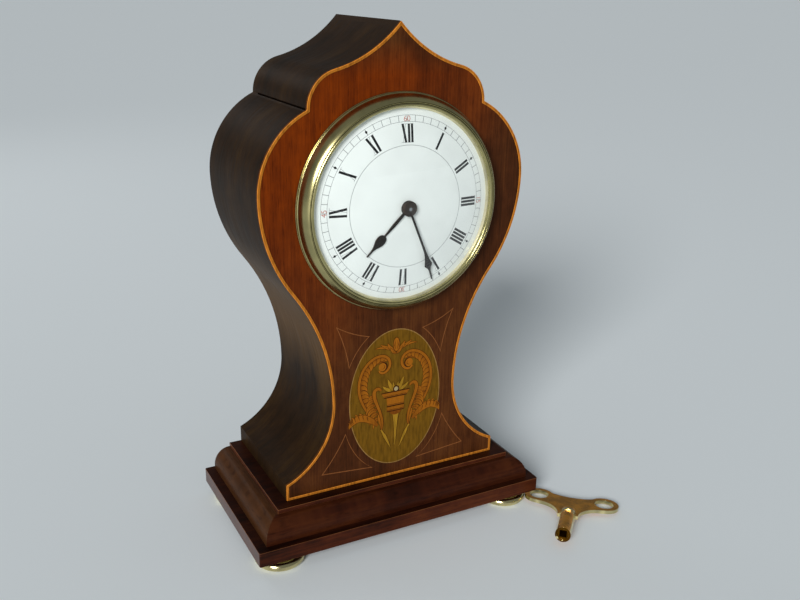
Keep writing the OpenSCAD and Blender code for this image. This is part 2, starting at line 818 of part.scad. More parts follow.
// Runs from the pan to the back opening, with a tab at each end that turns towards the dial axis
module strap() {
    color(plate_brass) difference() {
        union() {
            translate([-strap_w / 2, strap_y, strap_rear]) cube([strap_w, strap_t, pan_back - strap_rear]);
            for (z = [strap_rear, pan_back - strap_t])
                translate([-strap_w / 2, strap_y - strap_tab_l, z]) cube([strap_w, strap_tab_l + eps, strap_t]);
        }
        translate([0, strap_screw_y, 0]) disc(strap_screw_r, strap_rear - eps, strap_rear + strap_t + eps);
    }
}

module strap_upper() {
    movement() strap();
}

module strap_lower() {
    movement() mirror([0, 1, 0]) strap();
}

module strap_screws() {
    color(steel) movement() for (s = [-1, 1]) translate([0, s * strap_screw_y, 0]) {
        disc(strap_screw_r - seat_gap, ring_face, strap_rear + strap_t + 2);
        disc(strap_screw_r * 1.6, ring_face - 1.2, ring_face);
    }
}

// A knuckle lies along the upright hinge axis, from y0 to y1
module knuckle(y0, y1, r) {
    translate([hinge_x, y0, hinge_z]) rotate([-90, 0, 0]) cylinder(r = r, h = y1 - y0);
}

module rear_ring() {
    color(brass) movement() difference() {
        union() {
            rotate_extrude($fn = 96) {
                translate([ring_bore_r, ring_face]) square([ring_r - ring_bore_r - 1, ring_t]);
                translate([ring_r - 1, back_face - ring_t / 2]) circle(ring_t / 2);
            }
            knuckle(-knuckle_l / 2, knuckle_l / 2, knuckle_r);
            translate([hinge_x - lug_x, -knuckle_l / 2, hinge_z])
                cube([2 * lug_x, knuckle_l, ring_face - hinge_z + eps]);
        }
        knuckle(-knuckle_l, knuckle_l, hinge_pin_r + seat_gap);
        for (s = [-1, 1]) translate([0, s * strap_screw_y, 0])
            disc(strap_screw_r + 0.1, ring_face - eps, back_face + eps);
    }
}

module rear_door() {
    outer_l = knuckle_l * 0.6;
    near = knuckle_l / 2 + 0.15;
    rim_w = 1.4;
    color(brass) movement() difference() {
        union() {
            disc(door_r, door_back, door_face);
            rotate_extrude($fn = 96) translate([door_r - rim_w, door_back]) circle(rim_w / 2);
            for (s = [0, 1]) mirror([0, s, 0]) {
                knuckle(near, near + outer_l, knuckle_r);
                translate([hinge_x - 6, near, door_back]) cube([6, outer_l, door_t]);
            }
        }
        knuckle(-2 * knuckle_l, 2 * knuckle_l, hinge_pin_r + run_gap);
        translate([door_knob_x, 0, 0]) disc(1 + seat_gap, door_back - eps, door_face + eps);
    }
}

module door_hinge_pin() {
    pin_l = knuckle_l * 2.3;
    color(steel) movement() knuckle(-pin_l / 2, pin_l / 2, hinge_pin_r);
}

module door_knob() {
    knob_l = 5.4;
    knob_r = 2.4;
    color(brass) movement() translate([door_knob_x, 0, 0]) {
        disc(1, door_back - eps, door_face);
        translate([0, 0, door_back]) mirror([0, 0, 1]) rotate_extrude() {
            square([1.5, knob_l - knob_r]);
            translate([0, knob_l - knob_r]) intersection() {
                circle(knob_r);
                translate([0, -knob_r]) square([knob_r, 2 * knob_r]);
            }
        }
    }
}

// Gears

pressure_a = 25;
addendum = 0.85;
dedendum = 1.1;

function involute(a) = tan(a) * 180 / PI - a;

// One side of a tooth, from root to tip, as polar points about the tooth's middle
function flank(n, m, rows) =
    let (r = n * m / 2, rb = r * cos(pressure_a), r0 = r - dedendum * m, r1 = r + addendum * m,
         half = 90 / n - backlash / 4 / r * 180 / PI, start = max(r0, rb))
    concat(r0 < rb ? [[r0, half + involute(pressure_a)]] : [],
           [for (i = [0:rows]) let (q = start + (r1 - start) * i / rows)
               [q, half + involute(pressure_a) - involute(acos(min(1, rb / q)))]]);

// Gear outline with a tooth's middle at the angle phase
module gear(n, m, phase) {
    side = flank(n, m, n < 20 ? 4 : 1);
    k = len(side);
    polygon([for (i = [0:n - 1]) let (a = phase + 360 * i / n)
             each concat([for (j = [0:k - 1]) polar(side[j][0], a - side[j][1])],
                         [for (j = [k - 1:-1:0]) polar(side[j][0], a + side[j][1])])]);
}

// Phase that puts a gear of nb teeth in mesh with one of na teeth, seen along the angle a from the first
function mesh(a, na, phase, nb) = a + 180 - (0.5 - (a - phase) * na / 360) * 360 / nb;

// Wheel with its rim, a hub and straight crossings between them
module wheel(n, m, phase, hub_r, crossings = 4) {
    rim = n * m / 2 - 4 * m;
    difference() {
        gear(n, m, phase);
        difference() {
            circle(rim);
            circle(hub_r);
            for (i = [0:crossings - 1]) rotate(360 * i / crossings + 45) translate([0, -0.7]) square([rim + 1, 1.4]);
        }
    }
}

// Where the arbors stand, seen from the front
function pitch(n, m) = n * m / 2;
function meet(p, q, rp, rq, side) =
    let (d = norm(q - p), along = (rp ^ 2 - rq ^ 2 + d ^ 2) / (2 * d), aside = sqrt(rp ^ 2 - along ^ 2),
         u = (q - p) / d)
    p + u * along + side * [-u.y, u.x] * aside;
function bearing(p, q) = atan2(q.y - p.y, q.x - p.x);

barrel_l = pitch(barrel_n, barrel_m) + inter_pinion_n * barrel_m / 2;
inter_l = pitch(inter_n, inter_m) + pitch(centre_pinion_n, inter_m);
third_l = pitch(centre_n, centre_m) + pitch(train_pinion_n, centre_m);
fourth_l = pitch(third_n, third_m) + pitch(train_pinion_n, third_m);
escape_l = pitch(fourth_n, fourth_m) + pitch(train_pinion_n, fourth_m);
motion_l = pitch(cannon_n + minute_wheel_n, motion_m);
hour_m = 2 * motion_l / (minute_pinion_n + hour_wheel_n);

centre_p = [0, 0];
barrel_p = polar(pitch(barrel_n, barrel_m) + 3.24, 250);
inter_p = meet(barrel_p, centre_p, barrel_l, inter_l, 1);
third_p = polar(third_l, 20);
fourth_p = third_p + polar(fourth_l, 110);
escape_p = fourth_p + polar(escape_l, 165);
minute_p = polar(motion_l, 300);
lever_a = 190;
pallet_a = 30;
lever_set = 1.1;
lever_p = escape_p + polar(escape_r / cos(pallet_a) + lever_set, lever_a);
balance_p = lever_p + polar(lever_l, lever_a);

inter_phase = mesh(bearing(barrel_p, inter_p), barrel_n, 0, inter_pinion_n);
centre_phase = mesh(bearing(inter_p, centre_p), inter_n, 0, centre_pinion_n);
third_phase = mesh(bearing(centre_p, third_p), centre_n, 0, train_pinion_n);
fourth_phase = mesh(bearing(third_p, fourth_p), third_n, 0, train_pinion_n);
escape_phase = mesh(bearing(fourth_p, escape_p), fourth_n, 0, train_pinion_n);
minute_phase = mesh(bearing(centre_p, minute_p), cannon_n, 0, minute_wheel_n);
hour_phase = mesh(bearing(minute_p, centre_p), minute_pinion_n, 0, hour_wheel_n);

// Levels between the plates, counted from the back plate
barrel_z0 = plate_back_in + 3;
barrel_h = 13;
barrel_z1 = barrel_z0 + barrel_h;
barrel_teeth_z = barrel_z1 - 2.8;
barrel_teeth_t = 1.8;
barrel_wall = 0.9;
barrel_floor = 1.2;
barrel_drum_r = pitch(barrel_n, barrel_m) - 2 * barrel_m;
inter_z = barrel_z1 + 2.8;
centre_z = inter_z + wheel_t + 1.5;
third_level = 9;
fourth_level = 4;
third_z = plate_back_in + third_level;
fourth_z = plate_back_in + fourth_level;
pinion_over = 0.6;
collar_r = 2.2;
journal_r = 2.4;
barrel_pivot_r = 1.6;
pillar_a = [50, 150, 200, 320];

// Plain arbor between the plates with a pivot at each end
module arbor(r) {
    disc(r, plate_back_in + free_gap, plate_front_in - free_gap);
    disc(pivot_r, plate_back, plate_front);
}

// Movement frame

module pillar_holes() {
    for (a = pillar_a) at(polar(pillar_ring_r, a)) disc(pillar_screw_r + 0.1, plate_back - 1, plate_front + 1);
}

pillar_screw_r = 1;
pillar_screw_l = 6;
minute_stud_r = 1;

module front_plate() {
    color(plate_brass) movement() {
        difference() {
            disc(plate_r, plate_front_in, plate_front);
            for (p = [inter_p, third_p, fourth_p]) at(p) disc(pivot_r + run_gap, plate_front_in - 1, plate_front + 1);
            at(barrel_p) disc(barrel_pivot_r + run_gap, plate_front_in - 1, plate_front + 1);
            at(escape_p) disc(escape_pivot_r + run_gap, plate_front_in - 1, plate_front + 1);
            disc(arbor_r + run_gap, plate_front_in - 1, plate_front + 1);
            for (a = dial_foot_a) at(polar(dial_foot_ring_r, a))
                disc(dial_foot_r / 2 + run_gap, plate_front_in - 1, plate_front + 1);
            pillar_holes();
        }
        at(minute_p) disc(minute_stud_r, plate_front - eps, hour_wheel_z + wheel_t + 0.4);
    }
}

module back_plate() {
    color(plate_brass) movement() difference() {
        disc(plate_r, plate_back, plate_back_in);
        for (p = [inter_p, third_p, fourth_p]) at(p) disc(pivot_r + run_gap, plate_back - 1, plate_back_in + 1);
        at(barrel_p) disc(journal_r + run_gap, plate_back - 1, plate_back_in + 1);
        at(escape_p) disc(escape_arbor_r + free_gap, plate_back - 1, plate_back_in + 1);
        disc(arbor_r + run_gap, plate_back - 1, plate_back_in + 1);
        pillar_holes();
        at(click_p) disc(click_pivot_r - seat_gap, plate_back - 1, plate_back_in + 1);
        for (p = platform_screw_p) at(p) disc(platform_screw_r, plate_back - 1, plate_back_in + 1);
    }
}

module plate_pillars() {
    color(plate_brass) movement() for (a = pillar_a) at(polar(pillar_ring_r, a)) difference() {
        union() {
            disc(pillar_r, plate_back_in, plate_front_in);
            for (z = [plate_back_in + 3, plate_front_in - 4]) disc(pillar_r * 1.25, z, z + 1);
        }
        disc(pillar_screw_r + seat_gap, plate_back_in - 1, plate_back_in + pillar_screw_l);
        disc(pillar_screw_r + seat_gap, plate_front_in - pillar_screw_l, plate_front_in + 1);
    }
}

module movement_screws() {
    head_h = 1.2;
    color(steel) movement() {
        for (a = pillar_a) at(polar(pillar_ring_r, a)) {
            disc(2 * pillar_screw_r, plate_front, plate_front + head_h);
            disc(pillar_screw_r, plate_front_in - pillar_screw_l + 1, plate_front + eps);
            disc(2 * pillar_screw_r, plate_back - head_h, plate_back);
            disc(pillar_screw_r, plate_back - eps, plate_back_in + pillar_screw_l - 1);
        }
        for (p = platform_screw_p) at(p) {
            disc(1.8 * platform_screw_r, platform_back - 0.8, platform_back);
            disc(platform_screw_r - seat_gap, platform_back - eps, plate_back_in - 0.2);
        }
        at(click_p) {
            disc(click_pivot_r - 2 * seat_gap, ratchet_z - 0.2, plate_back_in - 0.3);
            disc(2 * click_pivot_r, ratchet_z - 1, ratchet_z - 0.2);
        }
    }
}

// Going barrel, its spring and its arbor

spring_t = 0.5;
spring_turns = 7;
hub_r = 3.6;

// Flat strip wound into an open spiral between two radii
module spiral(r0, r1, turns, t) {
    n = 24 * turns;
    inner = [for (i = [0:n]) polar(r0 + (r1 - r0) * i / n, 360 * turns * i / n)];
    outer = [for (i = [n:-1:0]) polar(r0 + t + (r1 - r0) * i / n, 360 * turns * i / n)];
    polygon(concat(inner, outer));
}

module barrel() {
    color(plate_brass) movement() at(barrel_p) difference() {
        union() {
            disc(barrel_drum_r, barrel_z0, barrel_z1);
            slice(barrel_teeth_z, barrel_teeth_z + barrel_teeth_t) gear(barrel_n, barrel_m, 0);
        }
        disc(barrel_drum_r - barrel_wall, barrel_z0 + barrel_floor, barrel_z1 + 1);
        disc(journal_r + run_gap, barrel_z0 - 1, barrel_z0 + barrel_floor + 1);
    }
}

module barrel_cover() {
    color(plate_brass) movement() at(barrel_p) difference() {
        disc(barrel_drum_r - barrel_wall - seat_gap, barrel_z1 - 1, barrel_z1);
        disc(journal_r + run_gap, barrel_z1 - 2, barrel_z1 + 1);
    }
}

module mainspring() {
    color(steel) movement() at(barrel_p)
        slice(barrel_z0 + barrel_floor + free_gap, barrel_z1 - 1 - free_gap)
            spiral(hub_r + run_gap, barrel_drum_r - barrel_wall - spring_t - seat_gap, spring_turns, spring_t);
}

module barrel_arbor() {
    square_reach = 22;
    square_end = plate_back - square_reach;
    color(steel) movement() at(barrel_p) {
        disc(hub_r, barrel_z0 + barrel_floor + free_gap, barrel_z1 - 1 - free_gap);
        disc(journal_r, ratchet_z - 0.4, plate_front_in - free_gap);
        disc(barrel_pivot_r, plate_front_in - free_gap - eps, plate_front);
        translate([-square_w / 2, -square_w / 2, square_end]) cube([square_w, square_w, ratchet_z - square_end]);
    }
}

// Click work behind the back plate

ratchet_r = 8;
ratchet_depth = 1;
ratchet_t = 1.4;
ratchet_z = plate_back - free_gap - ratchet_t;
click_p = barrel_p + polar(12.2, 150);
click_nose_a = 112;
click_pivot_r = 0.9;

// Saw teeth: each rises slowly to its tip and drops straight back
module ratchet_wheel() {
    pitch_a = 360 / ratchet_n;
    color(steel) movement() at(barrel_p) slice(ratchet_z, ratchet_z + ratchet_t) difference() {
        polygon([for (i = [0:ratchet_n - 1]) let (a = click_nose_a + pitch_a * (i - 0.1))
                 each [polar(ratchet_r, a), polar(ratchet_r - ratchet_depth, a + 0.4)]]);
        circle(journal_r + seat_gap);
    }
}

module click() {
    nose = barrel_p + polar(ratchet_r + 0.12, click_nose_a);
    neck = barrel_p + polar(ratchet_r + 1.1, click_nose_a + 6);
    color(steel) movement() slice(ratchet_z, ratchet_z + ratchet_t) difference() {
        union() {
            translate(click_p) circle(1.9);
            bar(click_p, neck, 1.5);
            polygon([nose, neck + [0.2, 0.75], neck + [-0.4, -0.7]]);
        }
        translate(click_p) circle(click_pivot_r + run_gap);
    }
}

// Leaf spring on its post
module click_spring() {
    post = click_p + [3.4, 6.6];
    tip = barrel_p + polar(ratchet_r + 3.4, click_nose_a - 4);
    color(steel) movement() {
        at(post) disc(1.2, ratchet_z, plate_back);
        slice(ratchet_z + 0.1, ratchet_z + ratchet_t - 0.1) bar(post, tip, 0.5);
    }
}

// Train

module intermediate_wheel() {
    color(plate_brass) movement() at(inter_p) {
        slice(inter_z, inter_z + wheel_t) wheel(inter_n, inter_m, 0, 3);
        slice(barrel_teeth_z - pinion_over, barrel_teeth_z + barrel_teeth_t + pinion_over)
            gear(inter_pinion_n, barrel_m, inter_phase);
        arbor(arbor_r);
    }
}

// Rides on the centre arbor, which slips in it when the hands are set
module centre_wheel() {
    color(plate_brass) movement() difference() {
        union() {
            slice(centre_z, centre_z + wheel_t) wheel(centre_n, centre_m, 0, 3.4);
            slice(inter_z - pinion_over, inter_z + wheel_t + pinion_over)
                gear(centre_pinion_n, inter_m, centre_phase);
            disc(1.8, inter_z - pinion_over, plate_front_in - free_gap);
        }
        disc(arbor_r + run_gap, inter_z - 2, plate_front_in);
    }
}

module third_wheel() {
    color(plate_brass) movement() at(third_p) {
        slice(third_z, third_z + wheel_t) wheel(third_n, third_m, 0, 2.6);
        slice(centre_z - pinion_over, centre_z + wheel_t + pinion_over / 2)
            gear(train_pinion_n, centre_m, third_phase);
        arbor(arbor_r);
    }
}

module fourth_wheel() {
    color(plate_brass) movement() at(fourth_p) {
        slice(fourth_z, fourth_z + wheel_t) wheel(fourth_n, fourth_m, 0, 2.4);
        slice(third_z - pinion_over, third_z + wheel_t + pinion_over)
            gear(train_pinion_n, third_m, fourth_phase);
        arbor(arbor_r * 0.85);
    }
}

// Motion work under the dial

cannon_z = plate_front + 0.6;
cannon_t = 2;
minute_wheel_z = cannon_z + 0.4;
hour_wheel_z = cannon_z + cannon_t + 0.4;
knob_back = plate_back - 22;

// Runs through both plates, from the setting knob to the minute hand
module centre_arbor() {
    color(steel) movement() {
        disc(arbor_r, knob_back, cannon_z + eps);
        disc(collar_r, inter_z - pinion_over - 0.9, inter_z - pinion_over - 0.1);
        slice(cannon_z, cannon_z + cannon_t) gear(cannon_n, motion_m, 0);
        disc(cannon_pipe_r, cannon_z, minute_hand_z + hand_t);
        disc(tip_r, minute_hand_z, collet_z + collet_h + 0.2);
    }
}

module minute_wheel() {
    color(plate_brass) movement() at(minute_p) difference() {
        union() {
            slice(minute_wheel_z, minute_wheel_z + wheel_t) wheel(minute_wheel_n, motion_m, minute_phase, 2.4);
            slice(minute_wheel_z, hour_wheel_z + wheel_t + 0.2) gear(minute_pinion_n, hour_m, 0);
        }
        disc(minute_stud_r - seat_gap + run_gap, minute_wheel_z - 1, hour_wheel_z + wheel_t + 1);
    }
}

module hour_wheel() {
    color(plate_brass) movement() difference() {
        union() {
            slice(hour_wheel_z, hour_wheel_z + wheel_t) wheel(hour_wheel_n, hour_m, hour_phase, 3.8);
            disc(hour_pipe_r, hour_wheel_z, hour_hand_z + hand_t);
        }
        disc(cannon_pipe_r + run_gap, hour_wheel_z - 1, hour_hand_z + 1);
    }
}

module setting_knob() {
    knob_r = 6.5;
    knob_t = 4;
    scallops = 16;
    color(brass) movement() difference() {
        union() {
            disc(2.2, knob_back, plate_back - free_gap);
            disc(knob_r, knob_back, knob_back + knob_t);
        }
        disc(arbor_r + seat_gap, knob_back - 1, plate_back);
        for (i = [0:scallops - 1]) at(polar(knob_r + 0.5, 360 * i / scallops)) disc(1, knob_back - 1, knob_back + knob_t + 1);
    }
}

// Escapement on its platform, behind the back plate

platform_t = 1.5;
platform_back = plate_back - platform_t;
platform_x = [-25.6, 6];
platform_y = [7, 28];
platform_screw_r = 0.7;
platform_screw_p = [[platform_x[0] + 2, platform_y[0] + 2], [platform_x[1] - 2, platform_y[0] + 2],
                    [platform_x[1] - 2, platform_y[1] - 2]];
escape_pivot_r = 0.5;
escape_arbor_r = 0.8;
escape_z = platform_back - 2.1;
escape_t = 0.7;
bridge_z = escape_z - 2.4;
bridge_t = 1.2;
bridge_foot_p = [escape_p + polar(7.2, 60), escape_p + polar(7.2, -50)];
balance_z = escape_z - 5;
balance_t = 1;
staff_r = 0.6;
hair_z = balance_z - 1.6;
cock_z = hair_z - 2;
cock_t = 1.2;
cock_foot_p = balance_p + polar(balance_r + 3, 135);
stud_p = balance_p + polar(4.7, 135);
index_boss_r = 1.4;

module platform() {
    color("#b8b6ac") movement() difference() {
        translate([platform_x[0], platform_y[0], platform_back])
            cube([platform_x[1] - platform_x[0], platform_y[1] - platform_y[0], platform_t]);
        at(escape_p) disc(escape_arbor_r + free_gap, platform_back - 1, plate_back + 1);
        for (p = [lever_p, balance_p]) at(p) disc(escape_pivot_r + run_gap, platform_back - 1, plate_back + 1);
        for (p = platform_screw_p) at(p) disc(platform_screw_r + 0.1, platform_back - 1, plate_back + 1);
    }
}

// Fifteen pointed teeth that lean forward, on a crossed-out wheel
module escape_wheel() {
    root_r = escape_r * 0.74;
    pitch_a = 360 / escape_n;
    tooth_a = lever_a + pallet_a + pitch_a / 4;
    color(plate_brass) movement() at(escape_p) {
        slice(escape_z, escape_z + escape_t) difference() {
            polygon([for (i = [0:escape_n - 1]) let (a = tooth_a + i * pitch_a)
                     each [polar(root_r, a - 14), polar(root_r, a - 8), polar(escape_r, a - 1),
                           polar(escape_r, a + 1), polar(root_r, a + 2)]]);
            difference() {
                circle(root_r - 0.7);
                circle(1.5);
                for (i = [0:3]) rotate(90 * i) translate([0, -0.35]) square([escape_r, 0.7]);
            }
        }
        slice(fourth_z - pinion_over, fourth_z + wheel_t + pinion_over)
            gear(train_pinion_n, fourth_m, escape_phase);
        disc(escape_arbor_r, bridge_z + bridge_t + free_gap / 2, plate_front_in - free_gap);
        disc(escape_pivot_r, bridge_z, plate_front);
    }
}

// Pallet arms on one side of the staff, and a forked tail that holds the impulse pin
module lever() {
    fork_in = lever_l - impulse_r - 0.5;
    fork_out = lever_l - impulse_r + 0.4;
    slot_w = 0.7;
    stone_w = 0.6;
    stone_gap = 0.3;
    color(steel) movement() {
        slice(escape_z, escape_z + escape_t) {
            for (s = [-1, 1]) {
                bar(lever_p, escape_p + polar(escape_r + 0.75, lever_a + pallet_a * s), 0.9);
                bar(escape_p + polar(escape_r + stone_gap, lever_a + pallet_a * s),
                    escape_p + polar(escape_r + 1.2, lever_a + pallet_a * s), stone_w);
            }
            translate(lever_p) circle(1.1);
            translate(lever_p) rotate(lever_a) difference() {
                union() {
                    translate([0, -0.45]) square([fork_in, 0.9]);
                    translate([fork_in - 0.7, -1]) square([fork_out - fork_in + 0.7, 2]);
                }
                translate([fork_in, -slot_w / 2]) square([2, slot_w]);
            }
        }
        at(lever_p) {
            disc(escape_arbor_r, bridge_z + bridge_t + free_gap / 2, platform_back - free_gap / 2);
            disc(escape_pivot_r, bridge_z, plate_back - 0.2);
        }
    }
}

module escape_bridge() {
    color("#b8b6ac") movement() {
        difference() {
            slice(bridge_z, bridge_z + bridge_t) {
                for (p = bridge_foot_p) {
                    bar(p, escape_p, 2.4);
                    translate(p) circle(1.6);
                }
                bar(escape_p, lever_p, 2.4);
                for (p = [escape_p, lever_p]) translate(p) circle(1.7);
            }
            for (p = [escape_p, lever_p]) at(p) disc(escape_pivot_r + run_gap, bridge_z - 1, bridge_z + bridge_t + 1);
        }
        for (p = bridge_foot_p) at(p) disc(1.2, bridge_z + bridge_t - eps, platform_back);
    }
}

// Three-armed balance on its staff, with the roller and its impulse pin
module balance() {
    rim_w = 1;
    pin_p = polar(impulse_r, lever_a + 180);
    color(plate_brass) movement() at(balance_p) {
        slice(balance_z, balance_z + balance_t) {
            difference() {
                circle(balance_r);
                circle(balance_r - rim_w);
            }
            circle(1.5);
            for (i = [0:2]) rotate(120 * i + 30) translate([0, -0.5]) square([balance_r - rim_w / 2, 1]);
        }
        disc(1.8, escape_z - 1, escape_z - 0.4);
        at(pin_p) disc(0.25, escape_z - 0.5, escape_z + escape_t);
        disc(staff_r, cock_z + cock_t + free_gap / 2, platform_back - free_gap / 2);
        disc(escape_pivot_r, cock_z, plate_back - 0.2);
        disc(1, hair_z - 0.1, hair_z + 0.7);
    }
}

module hairspring() {
    color(blued_steel) movement() at(balance_p)
        slice(hair_z, hair_z + 0.6) rotate(135) spiral(1.02, 4.1, hair_turns, hair_t);
}

module balance_cock() {
    color("#b8b6ac") movement() difference() {
        union() {
            slice(cock_z, cock_z + cock_t) {
                bar(cock_foot_p, balance_p, 3);
                translate(cock_foot_p) circle(2);
                translate(balance_p) circle(2.6);
            }
            at(cock_foot_p) disc(1.8, cock_z + cock_t - eps, platform_back);
            at(stud_p) disc(0.35, cock_z + cock_t - eps, hair_z + 0.6);
            at(balance_p) disc(index_boss_r, cock_z - 1, cock_z + eps);
        }
        at(balance_p) disc(escape_pivot_r + run_gap, cock_z - 0.3, cock_z + cock_t + 1);
    }
}

// Pointer that turns about the balance axis on the cock
module regulator_index() {
    pointer_l = 7.5;
    color(steel) movement() at(balance_p) slice(cock_z - 0.75, cock_z - 0.15) difference() {
        union() {
            circle(2.3);
            rotate(-60) polygon([[0, -0.7], [pointer_l, -0.15], [pointer_l, 0.15], [0, 0.7]]);
            rotate(150) translate([0, -0.5]) square([3.6, 1]);
        }
        circle(index_boss_r + run_gap);
    }
}

// Winding key, lying on the table by the plinth's right front corner

key_p = [slab_w / 2 + 16.1, -slab_d / 2 - 12.2];
key_turn = -43.9;
key_collar_l = key_l * 0.48;
key_ring_r = pipe_r * 1.08;
key_ring_l = 2;
// It rests on the far edge of its bows and on the ring round its pipe
key_tilt = atan2(key_ring_r - bow_t / 2, key_collar_l - key_ring_l + bow_r);
key_lift = bow_t / 2 * cos(key_tilt) + bow_r * sin(key_tilt);

module key_blade() {
    top_r = 30;
    side_r = 13;
    collar_w = pipe_r * 1.35;
    difference() {
        union() {
            difference() {
                translate([-key_span / 2, -key_collar_l]) square([key_span, key_collar_l + bow_r]);
                translate([0, top_r + 2]) circle(top_r);
                for (s = [-1, 1]) translate([s * (collar_w + side_r), -key_collar_l]) circle(side_r);
                for (s = [-1, 1]) translate([s * (collar_w + side_r + key_span / 2), -key_collar_l - 3])
                    square([key_span, 2 * side_r - 0.4], center = true);
            }
            for (s = [-1, 1]) translate([s * key_span / 2, 0]) circle(bow_r);
        }
        for (s = [-1, 1]) translate([s * key_span / 2, 0]) circle(bow_hole_r);
    }
}

module winding_key() {
    hole_w = square_w + 0.3;
    color(brass) translate([key_p.x, key_p.y, key_lift]) rotate([0, 0, key_turn]) rotate([-key_tilt, 0, 0])
        difference() {
            union() {
                translate([0, 0, -bow_t / 2]) linear_extrude(bow_t) key_blade();
                rotate([90, 0, 0]) {
                    disc(pipe_r, key_collar_l - 5, key_l);
                    disc(key_ring_r, key_collar_l - key_ring_l, key_collar_l);
                    disc(pipe_r * 1.04, key_collar_l + 0.8, key_collar_l + 1.8);
                }
            }
            rotate([90, 0, 0]) {
                translate([-hole_w / 2, -hole_w / 2, key_l - key_hole_d]) cube([hole_w, hole_w, key_hole_d + 1]);
                disc(pipe_r * 0.74, key_l - 1.2, key_l + 1);
            }
        }
}

base_slab();
base_moulding();
base_top();
foot(-1, -1);  // foot_front_left
foot(1, -1);  // foot_front_right
foot(-1, 1);  // foot_rear_left
foot(1, 1);  // foot_rear_right
base_screws();
case_front();
case_side_left();
case_side_right();
case_back();
case_bottom();
edge_stringing();
inlay_lines();
oval_ground();
marquetry_motif();
bezel();
bezel_glass();
sight_ring();
dial();
dial_pan();
hour_hand();
minute_hand();
hand_collet();
strap_upper();
strap_lower();
strap_screws();
rear_ring();
rear_door();
door_hinge_pin();
door_knob();
front_plate();
back_plate();
plate_pillars();
movement_screws();
barrel();
barrel_cover();
mainspring();
barrel_arbor();
ratchet_wheel();
click();
click_spring();
intermediate_wheel();
centre_wheel();
centre_arbor();
third_wheel();
fourth_wheel();
minute_wheel();
hour_wheel();
setting_knob();
platform();
escape_wheel();
lever();
escape_bridge();
balance();
hairspring();
balance_cock();
regulator_index();
winding_key();
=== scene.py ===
import bisect
import json
import math

import bmesh
import bpy
from bpy.props import FloatProperty, FloatVectorProperty, IntProperty, PointerProperty
from bpy.types import Operator, Panel, PropertyGroup
from mathutils import Matrix, Vector
from mathutils.geometry import tessellate_polygon


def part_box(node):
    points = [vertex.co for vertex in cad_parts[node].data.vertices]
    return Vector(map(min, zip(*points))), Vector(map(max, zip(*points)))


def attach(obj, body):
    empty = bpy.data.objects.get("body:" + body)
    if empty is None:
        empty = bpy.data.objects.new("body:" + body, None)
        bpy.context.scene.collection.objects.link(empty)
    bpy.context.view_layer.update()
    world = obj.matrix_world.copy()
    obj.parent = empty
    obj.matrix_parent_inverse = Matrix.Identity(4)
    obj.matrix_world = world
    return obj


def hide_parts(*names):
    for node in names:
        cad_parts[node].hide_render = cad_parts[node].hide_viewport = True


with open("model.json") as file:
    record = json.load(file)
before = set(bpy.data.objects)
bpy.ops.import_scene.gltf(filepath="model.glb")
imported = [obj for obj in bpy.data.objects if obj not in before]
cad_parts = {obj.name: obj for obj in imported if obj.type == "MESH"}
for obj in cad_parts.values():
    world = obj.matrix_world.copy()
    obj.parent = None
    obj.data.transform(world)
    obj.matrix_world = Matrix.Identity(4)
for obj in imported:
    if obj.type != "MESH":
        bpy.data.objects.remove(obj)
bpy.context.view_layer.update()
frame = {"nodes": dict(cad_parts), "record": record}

bl_info = {
    "name": "Balloon clock",
    "version": (1, 0, 0),
    "blender": (4, 5, 0),
    "location": "View3D > Sidebar > Clock",
    "description": "Veneers, marquetry, dial, brass and movement of a balloon clock",
    "category": "Object",
}

MM = 0.001
ROOT = "clock"

# Places that the solids give
FRONT_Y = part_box("case_front")[0].y
BEZEL_LO, BEZEL_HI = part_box("bezel")
DIAL_Z = (BEZEL_LO.z + BEZEL_HI.z) / 2
DIAL_LO, DIAL_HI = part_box("dial")
OVAL_LO, OVAL_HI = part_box("oval_ground")
OVAL_Z = (OVAL_LO.z + OVAL_HI.z) / 2


# Colours, nodes and properties


def tint(code):
    """An sRGB hex colour as linear red, green, blue and alpha."""
    levels = [int(code[i : i + 2], 16) / 255 for i in (1, 3, 5)]
    return [v / 12.92 if v <= 0.04045 else ((v + 0.055) / 1.055) ** 2.4 for v in levels] + [1.0]


def length(name, description, millimetres):
    """A size that a user may change."""
    size = millimetres * MM
    return FloatProperty(name=name, description=description, default=size, unit="LENGTH", precision=5)


def colour(name, description, code):
    """A colour that a user may change."""
    return FloatVectorProperty(
        name=name, description=description, default=tint(code), size=4, subtype="COLOR", min=0, max=1
    )


def feed(tree, node, inputs):
    """Links or sets a node's inputs; a node given as a value stands for its first output."""
    for key, value in inputs.items():
        if isinstance(value, bpy.types.Node):
            value = value.outputs[0]
        if isinstance(value, bpy.types.NodeSocket):
            tree.links.new(value, node.inputs[key])
        else:
            node.inputs[key].default_value = value


def add(tree, kind, inputs=None, stops=None, **settings):
    """Adds one node with its settings, its inputs and the stops of its colour ramp."""
    node = tree.nodes.new(kind)
    for key, value in settings.items():
        setattr(node, key, value)
    feed(tree, node, inputs or {})
    if stops:
        ramp = node.color_ramp.elements
        while len(ramp) < len(stops):
            ramp.new(1.0)
        for element, (place, shade) in zip(ramp, stops):
            element.position = place
            element.color = shade if len(shade) == 4 else (*shade, 1.0)
    return node


